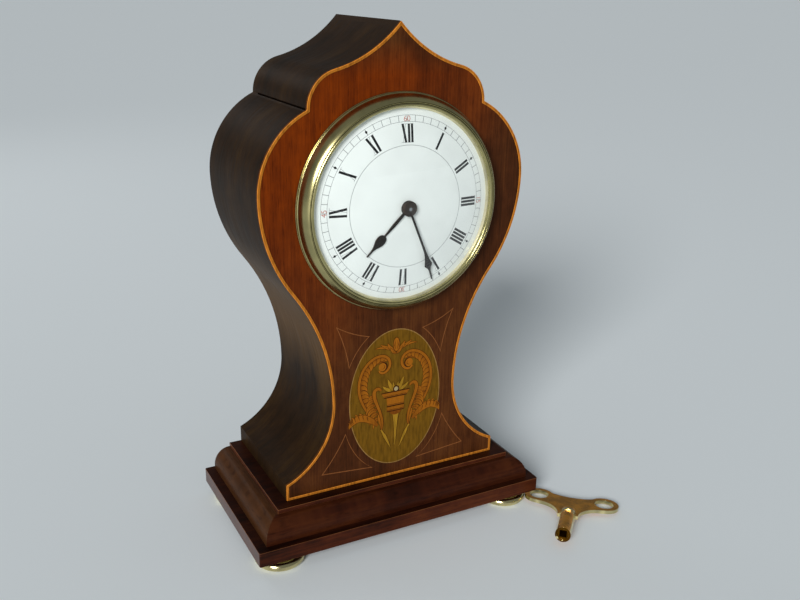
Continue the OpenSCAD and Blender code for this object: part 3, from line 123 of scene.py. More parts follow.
class ClockSizes(PropertyGroup):
    """Sizes of the finished pieces."""

    arris: length("Eased edge", "Rounding on the edges of the plinth boards", 0.5)
    numeral_in: length("Numeral foot", "Radius of the feet of the hour numerals", 31.3)
    numeral_out: length("Numeral head", "Radius of the heads of the hour numerals", 40.0)
    stroke: length("Thick stroke", "Width of a thick stroke of a numeral", 1.16)
    hairline: length("Hairline", "Width of the thin strokes and circles on the dial", 0.22)
    print_turn: FloatProperty(
        name="Print turn",
        description="Clockwise turn of the dial's print",
        default=math.radians(0.74),
        subtype="ANGLE",
    )
    dial_dome: length("Dial dome", "Rise of the dial from edge to middle", 4.4)
    track_in: length("Minute track inside", "Radius of the inner circle of the minute track", 41.0)
    track_out: length("Minute track outside", "Radius of the outer circle of the minute track", 44.0)
    inner_circle: length("Inner circle", "Radius of the fine circle inside the numerals", 30.1)
    minutes: IntProperty(name="Minutes", description="Marks in the minute track", default=60, min=12)
    lozenge: length("Hour mark", "Length of a black hour mark", 2.0)
    figure: length("Quarter figures", "Height of the red quarter figures", 2.7)
    minute_l: length("Minute hand", "Length of the minute hand", 42.2)
    minute_drop: length("Minute hand drop", "Fall of the minute hand towards its tip", 4.2)
    hour_l: length("Hour hand", "Length of the hour hand", 31.1)
    hour_drop: length("Hour hand drop", "Fall of the hour hand towards its tip", 1.9)
    collet_r: length("Collet radius", "Radius of the collet and of the hands' bosses", 3.8)
    foot_r: length("Foot radius", "Radius of a turned foot", 13.0)


class ClockColours(PropertyGroup):
    """Colours of the woods, metals and dial."""

    front_dark: colour("Front veneer, dark", "Dark streaks of the front veneer", "#541e03")
    front_mid: colour("Front veneer", "Ground colour of the front veneer", "#6a2903")
    front_light: colour("Front veneer, light", "Light figure of the front veneer", "#7e3304")
    # Browner tones of the front, mixed in as painted shade towards the foot, the right and the point
    foot_dark: colour("Low front veneer, dark", "Dark streaks of the front near its foot", "#361b0a")
    foot_mid: colour("Low front veneer", "Ground colour of the front near its foot", "#46240f")
    foot_light: colour("Low front veneer, light", "Light figure of the front near its foot", "#583115")
    flank_dark: colour("Flank veneer, dark", "Dark streaks of the sides", "#1a1108")
    flank_mid: colour("Flank veneer", "Ground colour of the sides", "#27190c")
    flank_light: colour("Flank veneer, light", "Light figure of the sides", "#35240f")
    plinth_dark: colour("Plinth, dark", "Dark streaks of the plinth", "#26110a")
    plinth_mid: colour("Plinth", "Ground colour of the plinth", "#421d0f")
    plinth_light: colour("Plinth, light", "Light figure of the plinth", "#552a14")
    string: colour("Boxwood", "Boxwood stringing", "#a86620")
    pale_line: colour("Oval line", "Pale line round the oval", "#8e6c3a")
    panel_line: colour("Panel lines", "Fine lines of the four panels", "#7e4c28")
    ground: colour("Oval ground", "Green-brown stained veneer of the oval", "#69490f")
    motif: colour("Motif", "Orange-tan veneer of the motif", "#8c5210")
    motif_shade: colour("Motif shading", "Sand-scorched part of the motif", "#5e2c08")
    gold: colour("Gold veneer", "Yellow veneer of the taper, flames and stems", "#96701e")
    pen: colour("Pen line", "Dark lines cut in the motif", "#3c1a06")
    brass: colour("Brass", "Spun brass of the bezel", "#bab07c")
    foot_brass: colour("Foot brass", "Yellow brass of the feet", "#dccf9a")
    key_brass: colour("Key brass", "Brown, handled brass of the key", "#eaa02a")
    plate_brass: colour("Plate brass", "Brass of the movement", "#c9a75a")
    enamel: colour("Enamel", "White enamel of the dial", "#f9fefa")
    grey_ink: colour("Thin ink", "Grey of the fine circles and ticks", "#6a6e70")
    ink: colour("Ink", "Black of the numerals", "#08090b")
    red_ink: colour("Red ink", "Red of the quarter figures", "#c88a80")
    hand: colour("Hands", "Blued steel of the hands, gone brown", "#2c231d")
    sight: colour("Sight ring", "Pale lapped brass of the sight ring", "#f2e8c0")
    # Rubbed arrises, partly a painted highlight; also the painted light of the moulding's ends
    worn: colour("Worn edge", "Plinth edges rubbed through the stain", "#8a5630")
    floor: colour("Floor", "Pale floor", "#ebf1f3")


def sizes():
    """The sizes in use."""
    return bpy.context.scene.clock_sizes


def colours():
    """The colours in use."""
    return bpy.context.scene.clock_colours


# Materials


def surface(name):
    """A new material, its tree and its main shader."""
    material = bpy.data.materials.new(name)
    material.use_nodes = True
    return material, material.node_tree, material.node_tree.nodes["Principled BSDF"]


def darker(shade, share):
    """A colour with its light cut, or raised, to a share."""
    return [v * share for v in shade[:3]] + [1.0]


def tones(shade, *shares):
    """The dark, middle and light tone of one colour."""
    return [darker(shade, share) for share in shares]


def depths(wood_name, share=1.0):
    """The dark, middle and light colour of a wood, each cut to a share."""
    c = colours()
    return [darker(getattr(c, f"{wood_name}_{depth}"), share) for depth in ("dark", "mid", "light")]


def streaks(tree, where, cell, detail, **more):
    """Noise whose cells have that size in millimetres along each axis."""
    scale = [1 / (side * MM) for side in cell]
    place = add(tree, "ShaderNodeMapping", {"Vector": where, "Scale": scale})
    return add(tree, "ShaderNodeTexNoise", {"Vector": place, "Scale": 1.0, "Detail": detail, **more})


def wood(name, shades, along, wax, uv=False, shaded_tones=None, waist_sheen=None):
    """A veneer or board: long figure, finer streaks and short dark pores, along one axis or the grain map.

    The wax is its least and most roughness and its specular level.
    """
    material, tree, shader = surface(name)
    if uv:
        where = add(tree, "ShaderNodeUVMap", uv_map="grain").outputs[0]
    else:
        where = add(tree, "ShaderNodeTexCoord").outputs["Object"]

    def grain(across, run, detail):
        cell = [across] * 3
        cell[along] = run
        return streaks(tree, where, cell, detail, Roughness=0.6)

    # Real fibres and pores are about 0.1 mm wide; these are as coarse as they need to be to show
    figure = grain(24, 150, 2)
    mottle = grain(5, 9, 3)
    fibre = grain(0.9, 34, 2)
    pores = grain(0.5, 8, 1)
    share = add(tree, "ShaderNodeMath", {0: fibre, 1: 0.3}, operation="MULTIPLY")
    for pattern, weight in ((mottle, 0.25), (figure, 0.45)):
        share = add(tree, "ShaderNodeMath", {0: pattern, 1: weight, 2: share}, operation="MULTIPLY_ADD")

    def toned(three):
        return add(tree, "ShaderNodeValToRGB", {"Fac": share}, stops=tuple(zip((0.38, 0.5, 0.62), three)))

    def drifted(place):
        # The edge of the painted shade and of the painted sheen wanders with the figure
        return add(tree, "ShaderNodeMath", {0: figure, 1: 60 * MM, 2: place}, operation="MULTIPLY_ADD")

    tone = toned(shades)
    if shaded_tones:
        # Painted shade and sheen: redder to the upper left, browner from the foot up, further up on the
        # right, and again at the point, as light falls from the upper left; partly the veneer's own browner
        # tone low down
        place = add(tree, "ShaderNodeSeparateXYZ", {0: where}).outputs
        lean = add(tree, "ShaderNodeMath", {0: place["X"], 1: -1.1, 2: place["Z"]}, operation="MULTIPLY_ADD")
        climb = {"Value": drifted(lean), "From Min": 165 * MM, "From Max": 285 * MM}
        high = add(tree, "ShaderNodeMapRange", climb)
        point = {"Value": place["Z"], "From Min": 242 * MM, "From Max": 268 * MM, "To Max": 1.6}
        peak = add(tree, "ShaderNodeMapRange", point)
        upper = add(tree, "ShaderNodeMath", {0: high, 1: peak}, operation="SUBTRACT", use_clamp=True)
        mix = add(tree, "ShaderNodeMix", {0: upper, 6: toned(shaded_tones), 7: tone}, data_type="RGBA")
        tone = mix.outputs[2]
    if waist_sheen:
        # Painted sheen: paler on a stretch of the bend, in metres along the grain map, where the waist would
        # mirror the bright room
        place = add(tree, "ShaderNodeSeparateXYZ", {0: where}).outputs
        stretch = ((0.09, 0.0), (0.12, 0.9), (0.145, 0.9), (0.18, 0.0))
        stops = [(run, (most, most, most)) for run, most in stretch]
        worn = add(tree, "ShaderNodeValToRGB", {"Fac": drifted(place["Y"])}, stops=stops)
        tone = add(tree, "ShaderNodeMix", {0: worn, 6: tone, 7: waist_sheen}, data_type="RGBA").outputs[2]
    dips = ((0.28, (0.62, 0.58, 0.55)), (0.42, (1.0, 1.0, 1.0)))
    pore = add(tree, "ShaderNodeValToRGB", {"Fac": pores}, stops=dips)
    mixed = add(tree, "ShaderNodeMix", {0: 1.0, 6: tone, 7: pore}, data_type="RGBA", blend_type="MULTIPLY")
    gloss = add(
        tree,
        "ShaderNodeMapRange",
        {"Value": fibre, "From Min": 0.3, "From Max": 0.7, "To Min": wax[0], "To Max": wax[1]},
    )
    bump = add(tree, "ShaderNodeBump", {"Height": pores, "Strength": 0.12, "Distance": 0.05 * MM})
    feed(tree, shader, {"Base Color": mixed.outputs[2], "Roughness": gloss, "Normal": bump})
    feed(tree, shader, {"Specular IOR Level": wax[2]})
    return material


def front_veneer():
    # French-polished mahogany veneer, grain upright: orange-red, with painted shade that browns it at its
    # foot, its right and its point
    return wood("front_mahogany_veneer", depths("front"), 2, (0.3, 0.4, 0.06), shaded_tones=depths("foot"))


def flank_veneer():
    # Darkened mahogany veneer bent over the sides: near black-brown, satin, with a painted sheen that makes
    # the waist paler
    waist_sheen = darker(colours().flank_light, 2.6)
    return wood("flank_mahogany_veneer", depths("flank"), 1, (0.36, 0.5, 0.03), uv=True, waist_sheen=waist_sheen)


def plinth_board():
    # Stained mahogany boards, grain along the front: dark red-brown, waxed
    return wood("plinth_mahogany", depths("plinth"), 0, (0.3, 0.42, 0.07))


def plinth_side():
    # The boards' ends, waxed flat: the same wood with a clear mirror at a low angle
    return wood("plinth_mahogany_end", depths("plinth"), 1, (0.26, 0.36, 0.5))


def shaded_plinth_ledge():
    # Tops of the boards: near black, painted shade on the ledges at the foot of the moulding and under the
    # case
    return wood("plinth_mahogany_ledge", depths("plinth", 0.42), 0, (0.36, 0.5, 0.06))


def plinth_moulding():
    # Stained mahogany moulding, grain along its run: dark red-brown, waxed and rubbed bright on the curve
    return wood("plinth_mahogany_moulding", depths("plinth", 0.6), 1, (0.28, 0.4, 0.08), uv=True)


def side_moulding():
    # The same moulding on the ends, painted lighter orange-brown: painted light, as if the ends were lit from
    # the side
    shades = tones(colours().worn, 0.1, 0.2, 0.3)
    return wood("plinth_mahogany_end_moulding", shades, 1, (0.3, 0.42, 0.06), uv=True)


def worn_and_lit_edge():
    # Mahogany rubbed bare along the arrises: paler, dull brown, partly a painted highlight of the lit edges
    return wood("worn_mahogany_edge", tones(colours().worn, 0.5, 0.75, 1.0), 0, (0.36, 0.46, 0.15))


def inlay_wood(name, shades, rough=0.4, specular=0.05):
    """A fine, even inlay wood with short flecks."""
    material, tree, shader = surface(name)
    where = add(tree, "ShaderNodeTexCoord").outputs["Object"]
    # Real flecks are about 0.2 mm wide; these are as coarse as they need to be to show
    fleck = streaks(tree, where, (1.2, 1.2, 7), 3.0)
    tone = add(tree, "ShaderNodeValToRGB", {"Fac": fleck}, stops=tuple(zip((0.3, 0.5, 0.72), shades)))
    feed(tree, shader, {"Base Color": tone, "Roughness": rough, "Specular IOR Level": specular})
    return material


def boxwood():
    # Boxwood string, aged under polish: orange-tan, very fine grain
    return inlay_wood("boxwood_string", tones(colours().string, 0.6, 1.0, 1.35))


def dark_boxwood():
    # The string's outer side, stained with the flank: brown
    return inlay_wood("boxwood_string_side", tones(darker(colours().string, 0.22), 0.6, 1.0, 1.35))


def boxwood_highlight():
    # The string's arris: light tan, a painted highlight along the lit edge
    return inlay_wood("boxwood_string_arris", tones(darker(colours().string, 1.7), 0.7, 1.0, 1.2))


def pale_boxwood():
    # Boxwood line round the oval, less stained: pale straw, very fine grain
    return inlay_wood("pale_boxwood_line", tones(colours().pale_line, 0.7, 1.0, 1.2))


def panel_boxwood():
    # Hair-thin boxwood lines of the panels, stained by the polish: pinkish tan
    return inlay_wood("boxwood_panel_line", tones(colours().panel_line, 0.75, 1.0, 1.15))


def oval_veneer():
    # Green-stained sycamore, browned with age: olive, upright grain
    return inlay_wood("stained_sycamore_ground", tones(colours().ground, 0.7, 1.0, 1.25))


def gold_veneer():
    # Yellow satinwood of the taper, flames and stems: golden, close grain
    return inlay_wood("yellow_satinwood", tones(colours().gold, 0.75, 1.0, 1.25))


def motif_veneer():
    # Satinwood cut for marquetry, scorched in hot sand at the roots: orange-tan fading to brown
    c = colours()
    material, tree, shader = surface("scorched_satinwood")
    where = add(tree, "ShaderNodeTexCoord").outputs["Object"]
    # Real flecks are about 0.2 mm wide; these are as coarse as they need to be to show
    fleck = streaks(tree, where, (0.8, 0.8, 4), 2.0)
    scorch = add(tree, "ShaderNodeAttribute", attribute_name="shade").outputs["Fac"]
    level = add(tree, "ShaderNodeMath", {0: fleck, 1: 0.5, 2: scorch}, operation="MULTIPLY_ADD")
    stops = ((0.25, c.motif_shade), (0.75, c.motif), (1.0, darker(c.motif, 1.25)))
    tone = add(tree, "ShaderNodeValToRGB", {"Fac": level}, stops=stops)
    feed(tree, shader, {"Base Color": tone, "Roughness": 0.4, "Specular IOR Level": 0.05})
    return material


def pen_line():
    # Cuts and pen work filled with dark mastic: brown-black, dull
    return inlay_wood("mastic_line", tones(colours().pen, 0.7, 1.0, 1.3))


def old_polish():
    # Painted shade in the crease of a shoulder: black-brown, dead flat
    shades = [tint(code) for code in ("#080503", "#0b0705", "#120c08")]
    return inlay_wood("old_polish", shades, rough=0.9, specular=0.0)


def ivory_dot():
    # A bone pin, worn smooth: cream white
    return inlay_wood("bone_pin", tones(tint("#a4946c"), 0.85, 1.0, 1.05))


def metal(name, shade, tarnish, rough, pattern):
    """Bare metal: a worked pattern in its gloss, and tarnish in clouds of a given size, start and depth."""
    material, tree, shader = surface(name)
    where = add(tree, "ShaderNodeTexCoord").outputs["Object"]
    cloud, start, depth = tarnish
    stain = add(tree, "ShaderNodeTexNoise", {"Vector": where, "Scale": 1 / (cloud * MM), "Detail": 4.0})
    stops = ((start, darker(shade, depth)), (0.6, shade))
    tone = add(tree, "ShaderNodeValToRGB", {"Fac": stain}, stops=stops)
    span = {"From Min": 0.3, "From Max": 0.7, "To Min": rough[0], "To Max": rough[1]}
    gloss = add(tree, "ShaderNodeMapRange", {"Value": pattern(tree, where), **span})
    feed(tree, shader, {"Base Color": tone, "Roughness": gloss, "Metallic": 1.0})
    return material


def turned_metal(name, shade, rough, rings, spread):
    """Metal turned or spun about the dial axis: fine rings in its gloss, with faint tarnish."""

    def lines(tree, where):
        # Real turning lines are about 0.1 mm apart; these are as coarse as they need to be to show
        flat = {"Vector": where, "Location": (0, 0, -DIAL_Z), "Scale": (1, 0, 1)}
        place = add(tree, "ShaderNodeMapping", flat)
        radius = add(tree, "ShaderNodeVectorMath", {0: place}, operation="LENGTH").outputs["Value"]
        turns = add(tree, "ShaderNodeMath", {0: radius, 1: 1 / (rings * MM)}, operation="MULTIPLY")
        return add(tree, "ShaderNodeTexNoise", {"W": turns, "Scale": 1.0}, noise_dimensions="1D")

    return metal(name, shade, (11, 0.32, 0.72), (rough, rough + spread), lines)


def worked_metal(name, shade, rough, grain, tarnish=0.7):
    """Metal finished by hand or on a lap: small scratches in its gloss, with faint tarnish."""

    def scratches(tree, where):
        # Real scratches are a few hundredths of a millimetre wide; these are coarser, so that they show
        return streaks(tree, where, (grain, 6 * grain, grain), 2.0)

    return metal(name, shade, (6, 0.35, tarnish), (rough, rough + 0.12), scratches)


def spun_brass():
    # Spun and lacquered brass: pale champagne, mirror bands with fine turning lines
    return turned_metal("spun_brass", colours().brass, 0.2, 0.35, 0.05)


def sight_brass():
    # Lapped brass cone round the dial: pale, soft, nearly as light as the enamel
    return turned_metal("lapped_sight_brass", colours().sight, 0.42, 0.5, 0.06)


def foot_brass():
    # Turned brass, polished: yellow, bright
    return worked_metal("turned_foot_brass", colours().foot_brass, 0.12, 0.5)


def key_brass():
    # Cast brass, handled: brown in the hollows, bright on the rims
    return worked_metal("cast_key_brass", colours().key_brass, 0.26, 0.8, 0.6)


def key_hollow():
    # Brass inside the key's pipe, never polished: brown-black, dull
    return worked_metal("tarnished_key_hole", darker(colours().key_brass, 0.1), 0.5, 0.8)


def plate_brass():
    # Rolled brass plate, grained on a stone: warm yellow, satin
    return worked_metal("grained_plate_brass", colours().plate_brass, 0.26, 0.25)


def steel():
    # Hardened steel, ground and polished: cool grey
    return worked_metal("polished_steel", tint("#a9abae"), 0.18, 0.2)


def nickel():
    # Nickelled brass with a frosted face: pale warm grey
    return worked_metal("frosted_nickel", tint("#c9c6bc"), 0.32, 0.15, 0.85)


def blued_steel():
    # Blued steel whose colour has gone brown-grey: dark, satin
    return worked_metal("browned_blue_steel", colours().hand, 0.34, 0.3)


def collet_steel():
    # Blued steel worn by the fingers: brown-grey, satin
    return worked_metal("worn_collet_steel", darker(colours().hand, 2.6), 0.4, 0.4)


def enamel():
    # Fired vitreous enamel on copper: white, glossy, with a faint cloud
    material, tree, shader = surface("vitreous_enamel")
    where = add(tree, "ShaderNodeTexCoord").outputs["Object"]
    cloud = add(tree, "ShaderNodeTexNoise", {"Vector": where, "Scale": 1 / (16 * MM), "Detail": 3.0})
    white = colours().enamel
    tone = add(tree, "ShaderNodeValToRGB", {"Fac": cloud}, stops=((0.35, darker(white, 0.95)), (0.6, white)))
    feed(tree, shader, {"Base Color": tone, "Roughness": 0.22})
    return material


def ink(name, shade):
    """Fired enamel paint: thin strokes that vary a little in depth."""
    material, tree, shader = surface(name)
    where = add(tree, "ShaderNodeTexCoord").outputs["Object"]
    wear = add(tree, "ShaderNodeTexNoise", {"Vector": where, "Scale": 1 / (0.9 * MM), "Detail": 2.0})
    pale = [v + 0.03 for v in shade[:3]] + [1.0]
    tone = add(tree, "ShaderNodeValToRGB", {"Fac": wear}, stops=((0.45, shade), (0.75, pale)))
    feed(tree, shader, {"Base Color": tone, "Roughness": 0.4, "Specular IOR Level": 0.2})
    return material


def black_ink():
    # Black enamel paint, fired on the dial
    return ink("black_dial_paint", colours().ink)


def grey_ink():
    # Black enamel paint drawn so thin that the white shows through: grey
    return ink("thin_dial_paint", colours().grey_ink)


def red_ink():
    # Red enamel paint, fired on the dial
    return ink("red_dial_paint", colours().red_ink)


def glass():
    # Blown convex glass: clear, with a faint mirror of the room that grows to the rim
    material, tree, shader = surface("convex_glass")
    tree.nodes.remove(shader)
    edge = add(tree, "ShaderNodeLayerWeight", {"Blend": 0.08}).outputs["Facing"]
    clear = add(tree, "ShaderNodeBsdfTransparent", {"Color": (0.994, 0.998, 0.996, 1)})
    mirror = add(tree, "ShaderNodeBsdfGlossy", {"Color": (1, 1, 1, 1), "Roughness": 0.02})
    blend = add(tree, "ShaderNodeMixShader", {0: edge, 1: clear, 2: mirror})
    feed(tree, tree.nodes["Material Output"], {"Surface": blend})
    return material


FINISHES = {
    "front": front_veneer,
    "flank": flank_veneer,
    "board": plinth_board,
    "moulding": plinth_moulding,
    "side_moulding": side_moulding,
    "side_board": plinth_side,
    "ledge": shaded_plinth_ledge,
    "worn_and_lit_edge": worn_and_lit_edge,
    "boxwood": boxwood,
    "dark_boxwood": dark_boxwood,
    "boxwood_highlight": boxwood_highlight,
    "pale_boxwood": pale_boxwood,
    "panel_boxwood": panel_boxwood,
    "ground": oval_veneer,
    "gold": gold_veneer,
    "motif": motif_veneer,
    "pen": pen_line,
    "crease_shade": old_polish,
    "bone": ivory_dot,
    "spun_brass": spun_brass,
    "sight_brass": sight_brass,
    "foot_brass": foot_brass,
    "key_brass": key_brass,
    "key_hollow": key_hollow,
    "plate_brass": plate_brass,
    "steel": steel,
    "nickel": nickel,
    "blued_steel": blued_steel,
    "collet_steel": collet_steel,
    "enamel": enamel,
    "ink": black_ink,
    "grey_ink": grey_ink,
    "red_ink": red_ink,
    "glass": glass,
}
MADE = {}


def look(name):
    """The finish of that name, made once."""
    if name not in MADE:
        MADE[name] = FINISHES[name]()
    return MADE[name]


# Meshes


def put(name, mesh, looks):
    """An object at the origin from a mesh, with its finishes."""
    for finish in looks:
        mesh.materials.append(look(finish))
    obj = bpy.data.objects.new(name, mesh)
    bpy.context.scene.collection.objects.link(obj)
    return obj


def new_object(name, verts, faces, looks, which=None):
    """An object at the origin from points and faces, with its finishes."""
    mesh = bpy.data.meshes.new(name)
    mesh.from_pydata([tuple(v) for v in verts], [], faces)
    obj = put(name, mesh, looks)
    if which:
        mesh.polygons.foreach_set("material_index", which)
    return obj


def smooth(obj, crease=32):
    """Smooth shading that keeps edges sharper than the crease angle."""
    obj.data.polygons.foreach_set("use_smooth", [True] * len(obj.data.polygons))
    obj.data.set_sharp_from_angle(angle=math.radians(crease))


def closed(obj, crease=32):
    """Merges doubles, turns faces outwards and smooths a closed shape."""
    bm = bmesh.new()
    bm.from_mesh(obj.data)
    bmesh.ops.remove_doubles(bm, verts=bm.verts, dist=1e-7)
    bmesh.ops.recalc_face_normals(bm, faces=bm.faces)
    bm.to_mesh(obj.data)
    bm.free()
    smooth(obj, crease)
    return obj


def settle(obj):
    """Makes the modifiers' result the object's own mesh."""
    bpy.context.view_layer.update()
    graph = bpy.context.evaluated_depsgraph_get()
    mesh = bpy.data.meshes.new_from_object(obj.evaluated_get(graph))
    obj.modifiers.clear()
    obj.data = mesh
    mesh.name = obj.name
    return obj


def hand_over(obj, body, slot, *nodes):
    """Fixes a finished piece to its body and hides the nodes it stands for; the slot is not used."""
    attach(obj, body)
    if nodes:
        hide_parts(*nodes)
    return obj


def copy_of(nodes, name, looks, arris=0.0):
    """One merged copy of some nodes, its flat faces joined; an arris eases the edges in the last finish."""
    bm = bmesh.new()
    for node in nodes:
        bm.from_mesh(frame["nodes"][node].data)
    bmesh.ops.remove_doubles(bm, verts=bm.verts, dist=1e-6)
    bmesh.ops.dissolve_limit(bm, angle_limit=math.radians(0.2), verts=bm.verts, edges=bm.edges)
    mesh = bpy.data.meshes.new(name)
    bm.to_mesh(mesh)
    bm.free()
    obj = put(name, mesh, looks)
    mesh.polygons.foreach_set("material_index", [0] * len(mesh.polygons))
    smooth(obj)
    if arris:
        bevel = obj.modifiers.new("arris", "BEVEL")
        bevel.width = arris
        bevel.segments = 3
        bevel.limit_method = "ANGLE"
        bevel.angle_limit = math.radians(40)
        bevel.use_clamp_overlap = True
        bevel.material = len(looks) - 1
        flats = obj.modifiers.new("flats", "WEIGHTED_NORMAL")
        flats.keep_sharp = True
        settle(obj)
    return obj


def turned(profile, steps, centre, forward=False):
    """Points and faces of a closed section turned about an upright axis or, forward, a level one."""
    verts, faces = [], []
    for step in range(steps):
        a = 2 * math.pi * step / steps
        for r, h in profile:
            if forward:
                verts.append(centre + Vector((r * math.cos(a), -h, r * math.sin(a))))
            else:
                verts.append(centre + Vector((r * math.cos(a), r * math.sin(a), h)))
    n = len(profile)
    for step in range(steps):
        here = step * n
        there = (step + 1) % steps * n
        for i in range(n):
            j = (i + 1) % n
            faces.append((here + i, here + j, there + j, there + i))
    return verts, faces


def arc(c, r, start, end, count):
    """Points on an arc, in degrees, both ends in."""
    angles = [math.radians(start + (end - start) * i / (count - 1)) for i in range(count)]
    return [(c[0] + r * math.cos(a), c[1] + r * math.sin(a)) for a in angles]


def bezier(points, count):
    """Points along a chain of cubic curves, each sharing its end with the next."""
    path = [Vector(points[0])]
    for k in range(0, len(points) - 1, 3):
        p = [Vector(q) for q in points[k : k + 4]]
        for i in range(1, count + 1):
            t = i / count
            s = 1 - t
            path.append(p[0] * s**3 + p[1] * 3 * s * s * t + p[2] * 3 * s * t * t + p[3] * t**3)
    return path


class Inlay:
    """Flat shapes on a face that looks forward, each laid a hair above the one before."""

    def __init__(self, centre, out, lift, step):
        self.centre = centre
        self.out = out
        self.lift = lift
        self.step = step
        self.verts, self.faces, self.which, self.shade, self.looks = [], [], [], [], []

    def lay(self, points, faces, finish, shades):
        """Adds one shape; its points are across and up from the centre, in millimetres."""
        if finish not in self.looks:
            self.looks.append(finish)
        start = len(self.verts)
        for (x, z), shade in zip(points, shades):
            y = FRONT_Y - (self.out(x, z) + self.lift) * MM
            self.verts.append((self.centre.x + x * MM, y, self.centre.z + z * MM))
            self.shade.append(shade)
        for face in faces:
            corners = [points[i] for i in face]
            area = sum(a[0] * b[1] - b[0] * a[1] for a, b in zip(corners, corners[1:] + corners[:1]))
            turn = face if area > 0 else face[::-1]
            self.faces.append([start + i for i in turn])
            self.which.append(self.looks.index(finish))
        self.lift += self.step

    def fill(self, points, finish, shade=0.5):
        """A filled outline."""
        flat = [Vector((x, z, 0)) for x, z in points]
        faces = [list(face) for face in tessellate_polygon([flat])]
        self.lay([tuple(p) for p in points], faces, finish, [shade] * len(points))

    def band(self, path, widths, finish, shades=(0.5, 0.5), mirror=False):
        """A band along a path whose half width and shade run through the values given."""
        count = len(path)
        points, tones = [], []
        for i, p in enumerate(path):
            along = Vector(path[min(i + 1, count - 1)]) - Vector(path[max(i - 1, 0)])
            side = Vector((-along.y, along.x)).normalized()
            t = i / (count - 1)
            half = between(widths, t)
            points += [tuple(Vector(p) + side * half), tuple(Vector(p) - side * half)]
            tones += [between(shades, t)] * 2
        faces = [[2 * i, 2 * i + 1, 2 * i + 3, 2 * i + 2] for i in range(count - 1)]
        self.lay(points, faces, finish, tones)
        if mirror:
            self.lift -= self.step
            self.lay([(-x, z) for x, z in points], faces, finish, tones)

    def leaf(self, curve, width, shades=(0.1, 0.75), mirror=True, rib=True, rim=0.17):
        """A pointed leaf with a dark edge and a dark rib."""
        path = bezier(curve, 9)
        swell = (0.25, 0.8, 1.0, 0.85, 0.5, 0.06)
        self.band(path, [width / 2 * s + rim for s in swell], "pen", mirror=mirror)
        self.band(path, [width / 2 * s for s in swell], "motif", shades, mirror)
        if rib:
            self.band(path[1:-3], (0.10, 0.04), "pen", mirror=mirror)

    def build(self, name, thin=False):
        """The object made of all shapes so far."""
        obj = new_object(name, self.verts, self.faces, self.looks, self.which)
        if not thin:
            layer = obj.data.color_attributes.new("shade", "FLOAT_COLOR", "POINT")
            for item, s in zip(layer.data, self.shade):
                item.color = (s, s, s, 1)
        return obj


def between(values, t):
    """The value at t along an evenly spaced row."""
    place = t * (len(values) - 1)
    i = min(int(place), len(values) - 2)
    return values[i] + (values[i + 1] - values[i]) * (place - i)


# Case


def flank_run():
    """Heights up the case outline, the half width and the length along it at each, from the back board."""
    # The rim of the rear opening lies inside the ring, so only the outline lies further out than this
    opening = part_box("rear_ring")[1].x * 0.98
    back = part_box("case_back")[1].y
    seen = {}
    for v in frame["nodes"]["case_back"].data.vertices:
        away = math.hypot(v.co.x, v.co.z - DIAL_Z)
        if v.co.y > back - 1e-5 and v.co.x > -1e-6 and away > opening:
            seen[round(v.co.z, 6)] = max(v.co.x, seen.get(round(v.co.z, 6), 0))
    heights = sorted(seen)
    widths = [seen[z] for z in heights]
    run = [0.0]
    for i in range(1, len(heights)):
        run.append(run[-1] + math.hypot(heights[i] - heights[i - 1], widths[i] - widths[i - 1]))
    return heights, widths, run


def map_flank(obj):
    """Lays the grain map so that the grain follows the bent side."""
    heights, _, run = flank_run()
    layer = obj.data.uv_layers.new(name="grain")
    for loop in obj.data.loops:
        p = obj.data.vertices[loop.vertex_index].co
        i = min(max(bisect.bisect_left(heights, p.z), 1), len(heights) - 1)
        share = (p.z - heights[i - 1]) / (heights[i] - heights[i - 1])
        # The right side shows another stretch of the wood than the left one
        side = 0.3 if p.x > 0 else 0.0
        layer.data[loop.index].uv = (p.y + side, run[i - 1] + (run[i] - run[i - 1]) * share)


def map_run(obj):
    """Lays the grain map so that the grain follows each run of the moulding."""
    layer = obj.data.uv_layers.new(name="grain")
    for face in obj.data.polygons:
        on_side = abs(face.normal.x) > abs(face.normal.y)
        # Each run shows its own stretch of the wood
        for i in face.loop_indices:
            p = obj.data.vertices[obj.data.loops[i].vertex_index].co
            if on_side:
                layer.data[i].uv = (p.z + abs(p.x), p.y + (0.5 if p.x > 0 else 0.0))
            else:
                layer.data[i].uv = (p.z + abs(p.y), p.x + 1.0)


def crease(side, heights, widths):
    """A dark line of painted shade in the corner where a shoulder meets the balloon."""
    half_width, lift, behind_string = 0.5 * MM, 0.03 * MM, 1.6 * MM
    path = [Vector(p) for p in zip(widths, heights)]

    def bend(k):
        before, after = path[k] - path[k - 1], path[k + 1] - path[k]
        return before.normalized().cross(after.normalized())

    i = min((k for k in range(1, len(path) - 1) if heights[k] > DIAL_Z), key=bend)
    rows = []
    for k in (i - 1, i, i + 1):
        step = (path[k] - path[i]).normalized() * half_width
        rows.append((side * (path[i].x + step.x + lift), path[i].y + step.y + lift))
    ends = (FRONT_Y + behind_string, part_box("case_side_left")[1].y)
    verts = [(x, y, z) for x, z in rows for y in ends]
    faces = [[0, 1, 3, 2], [2, 3, 5, 4]] if side < 0 else [[2, 3, 1, 0], [4, 5, 3, 2]]
    return new_object("shoulder_crease", verts, faces, ["crease_shade"])


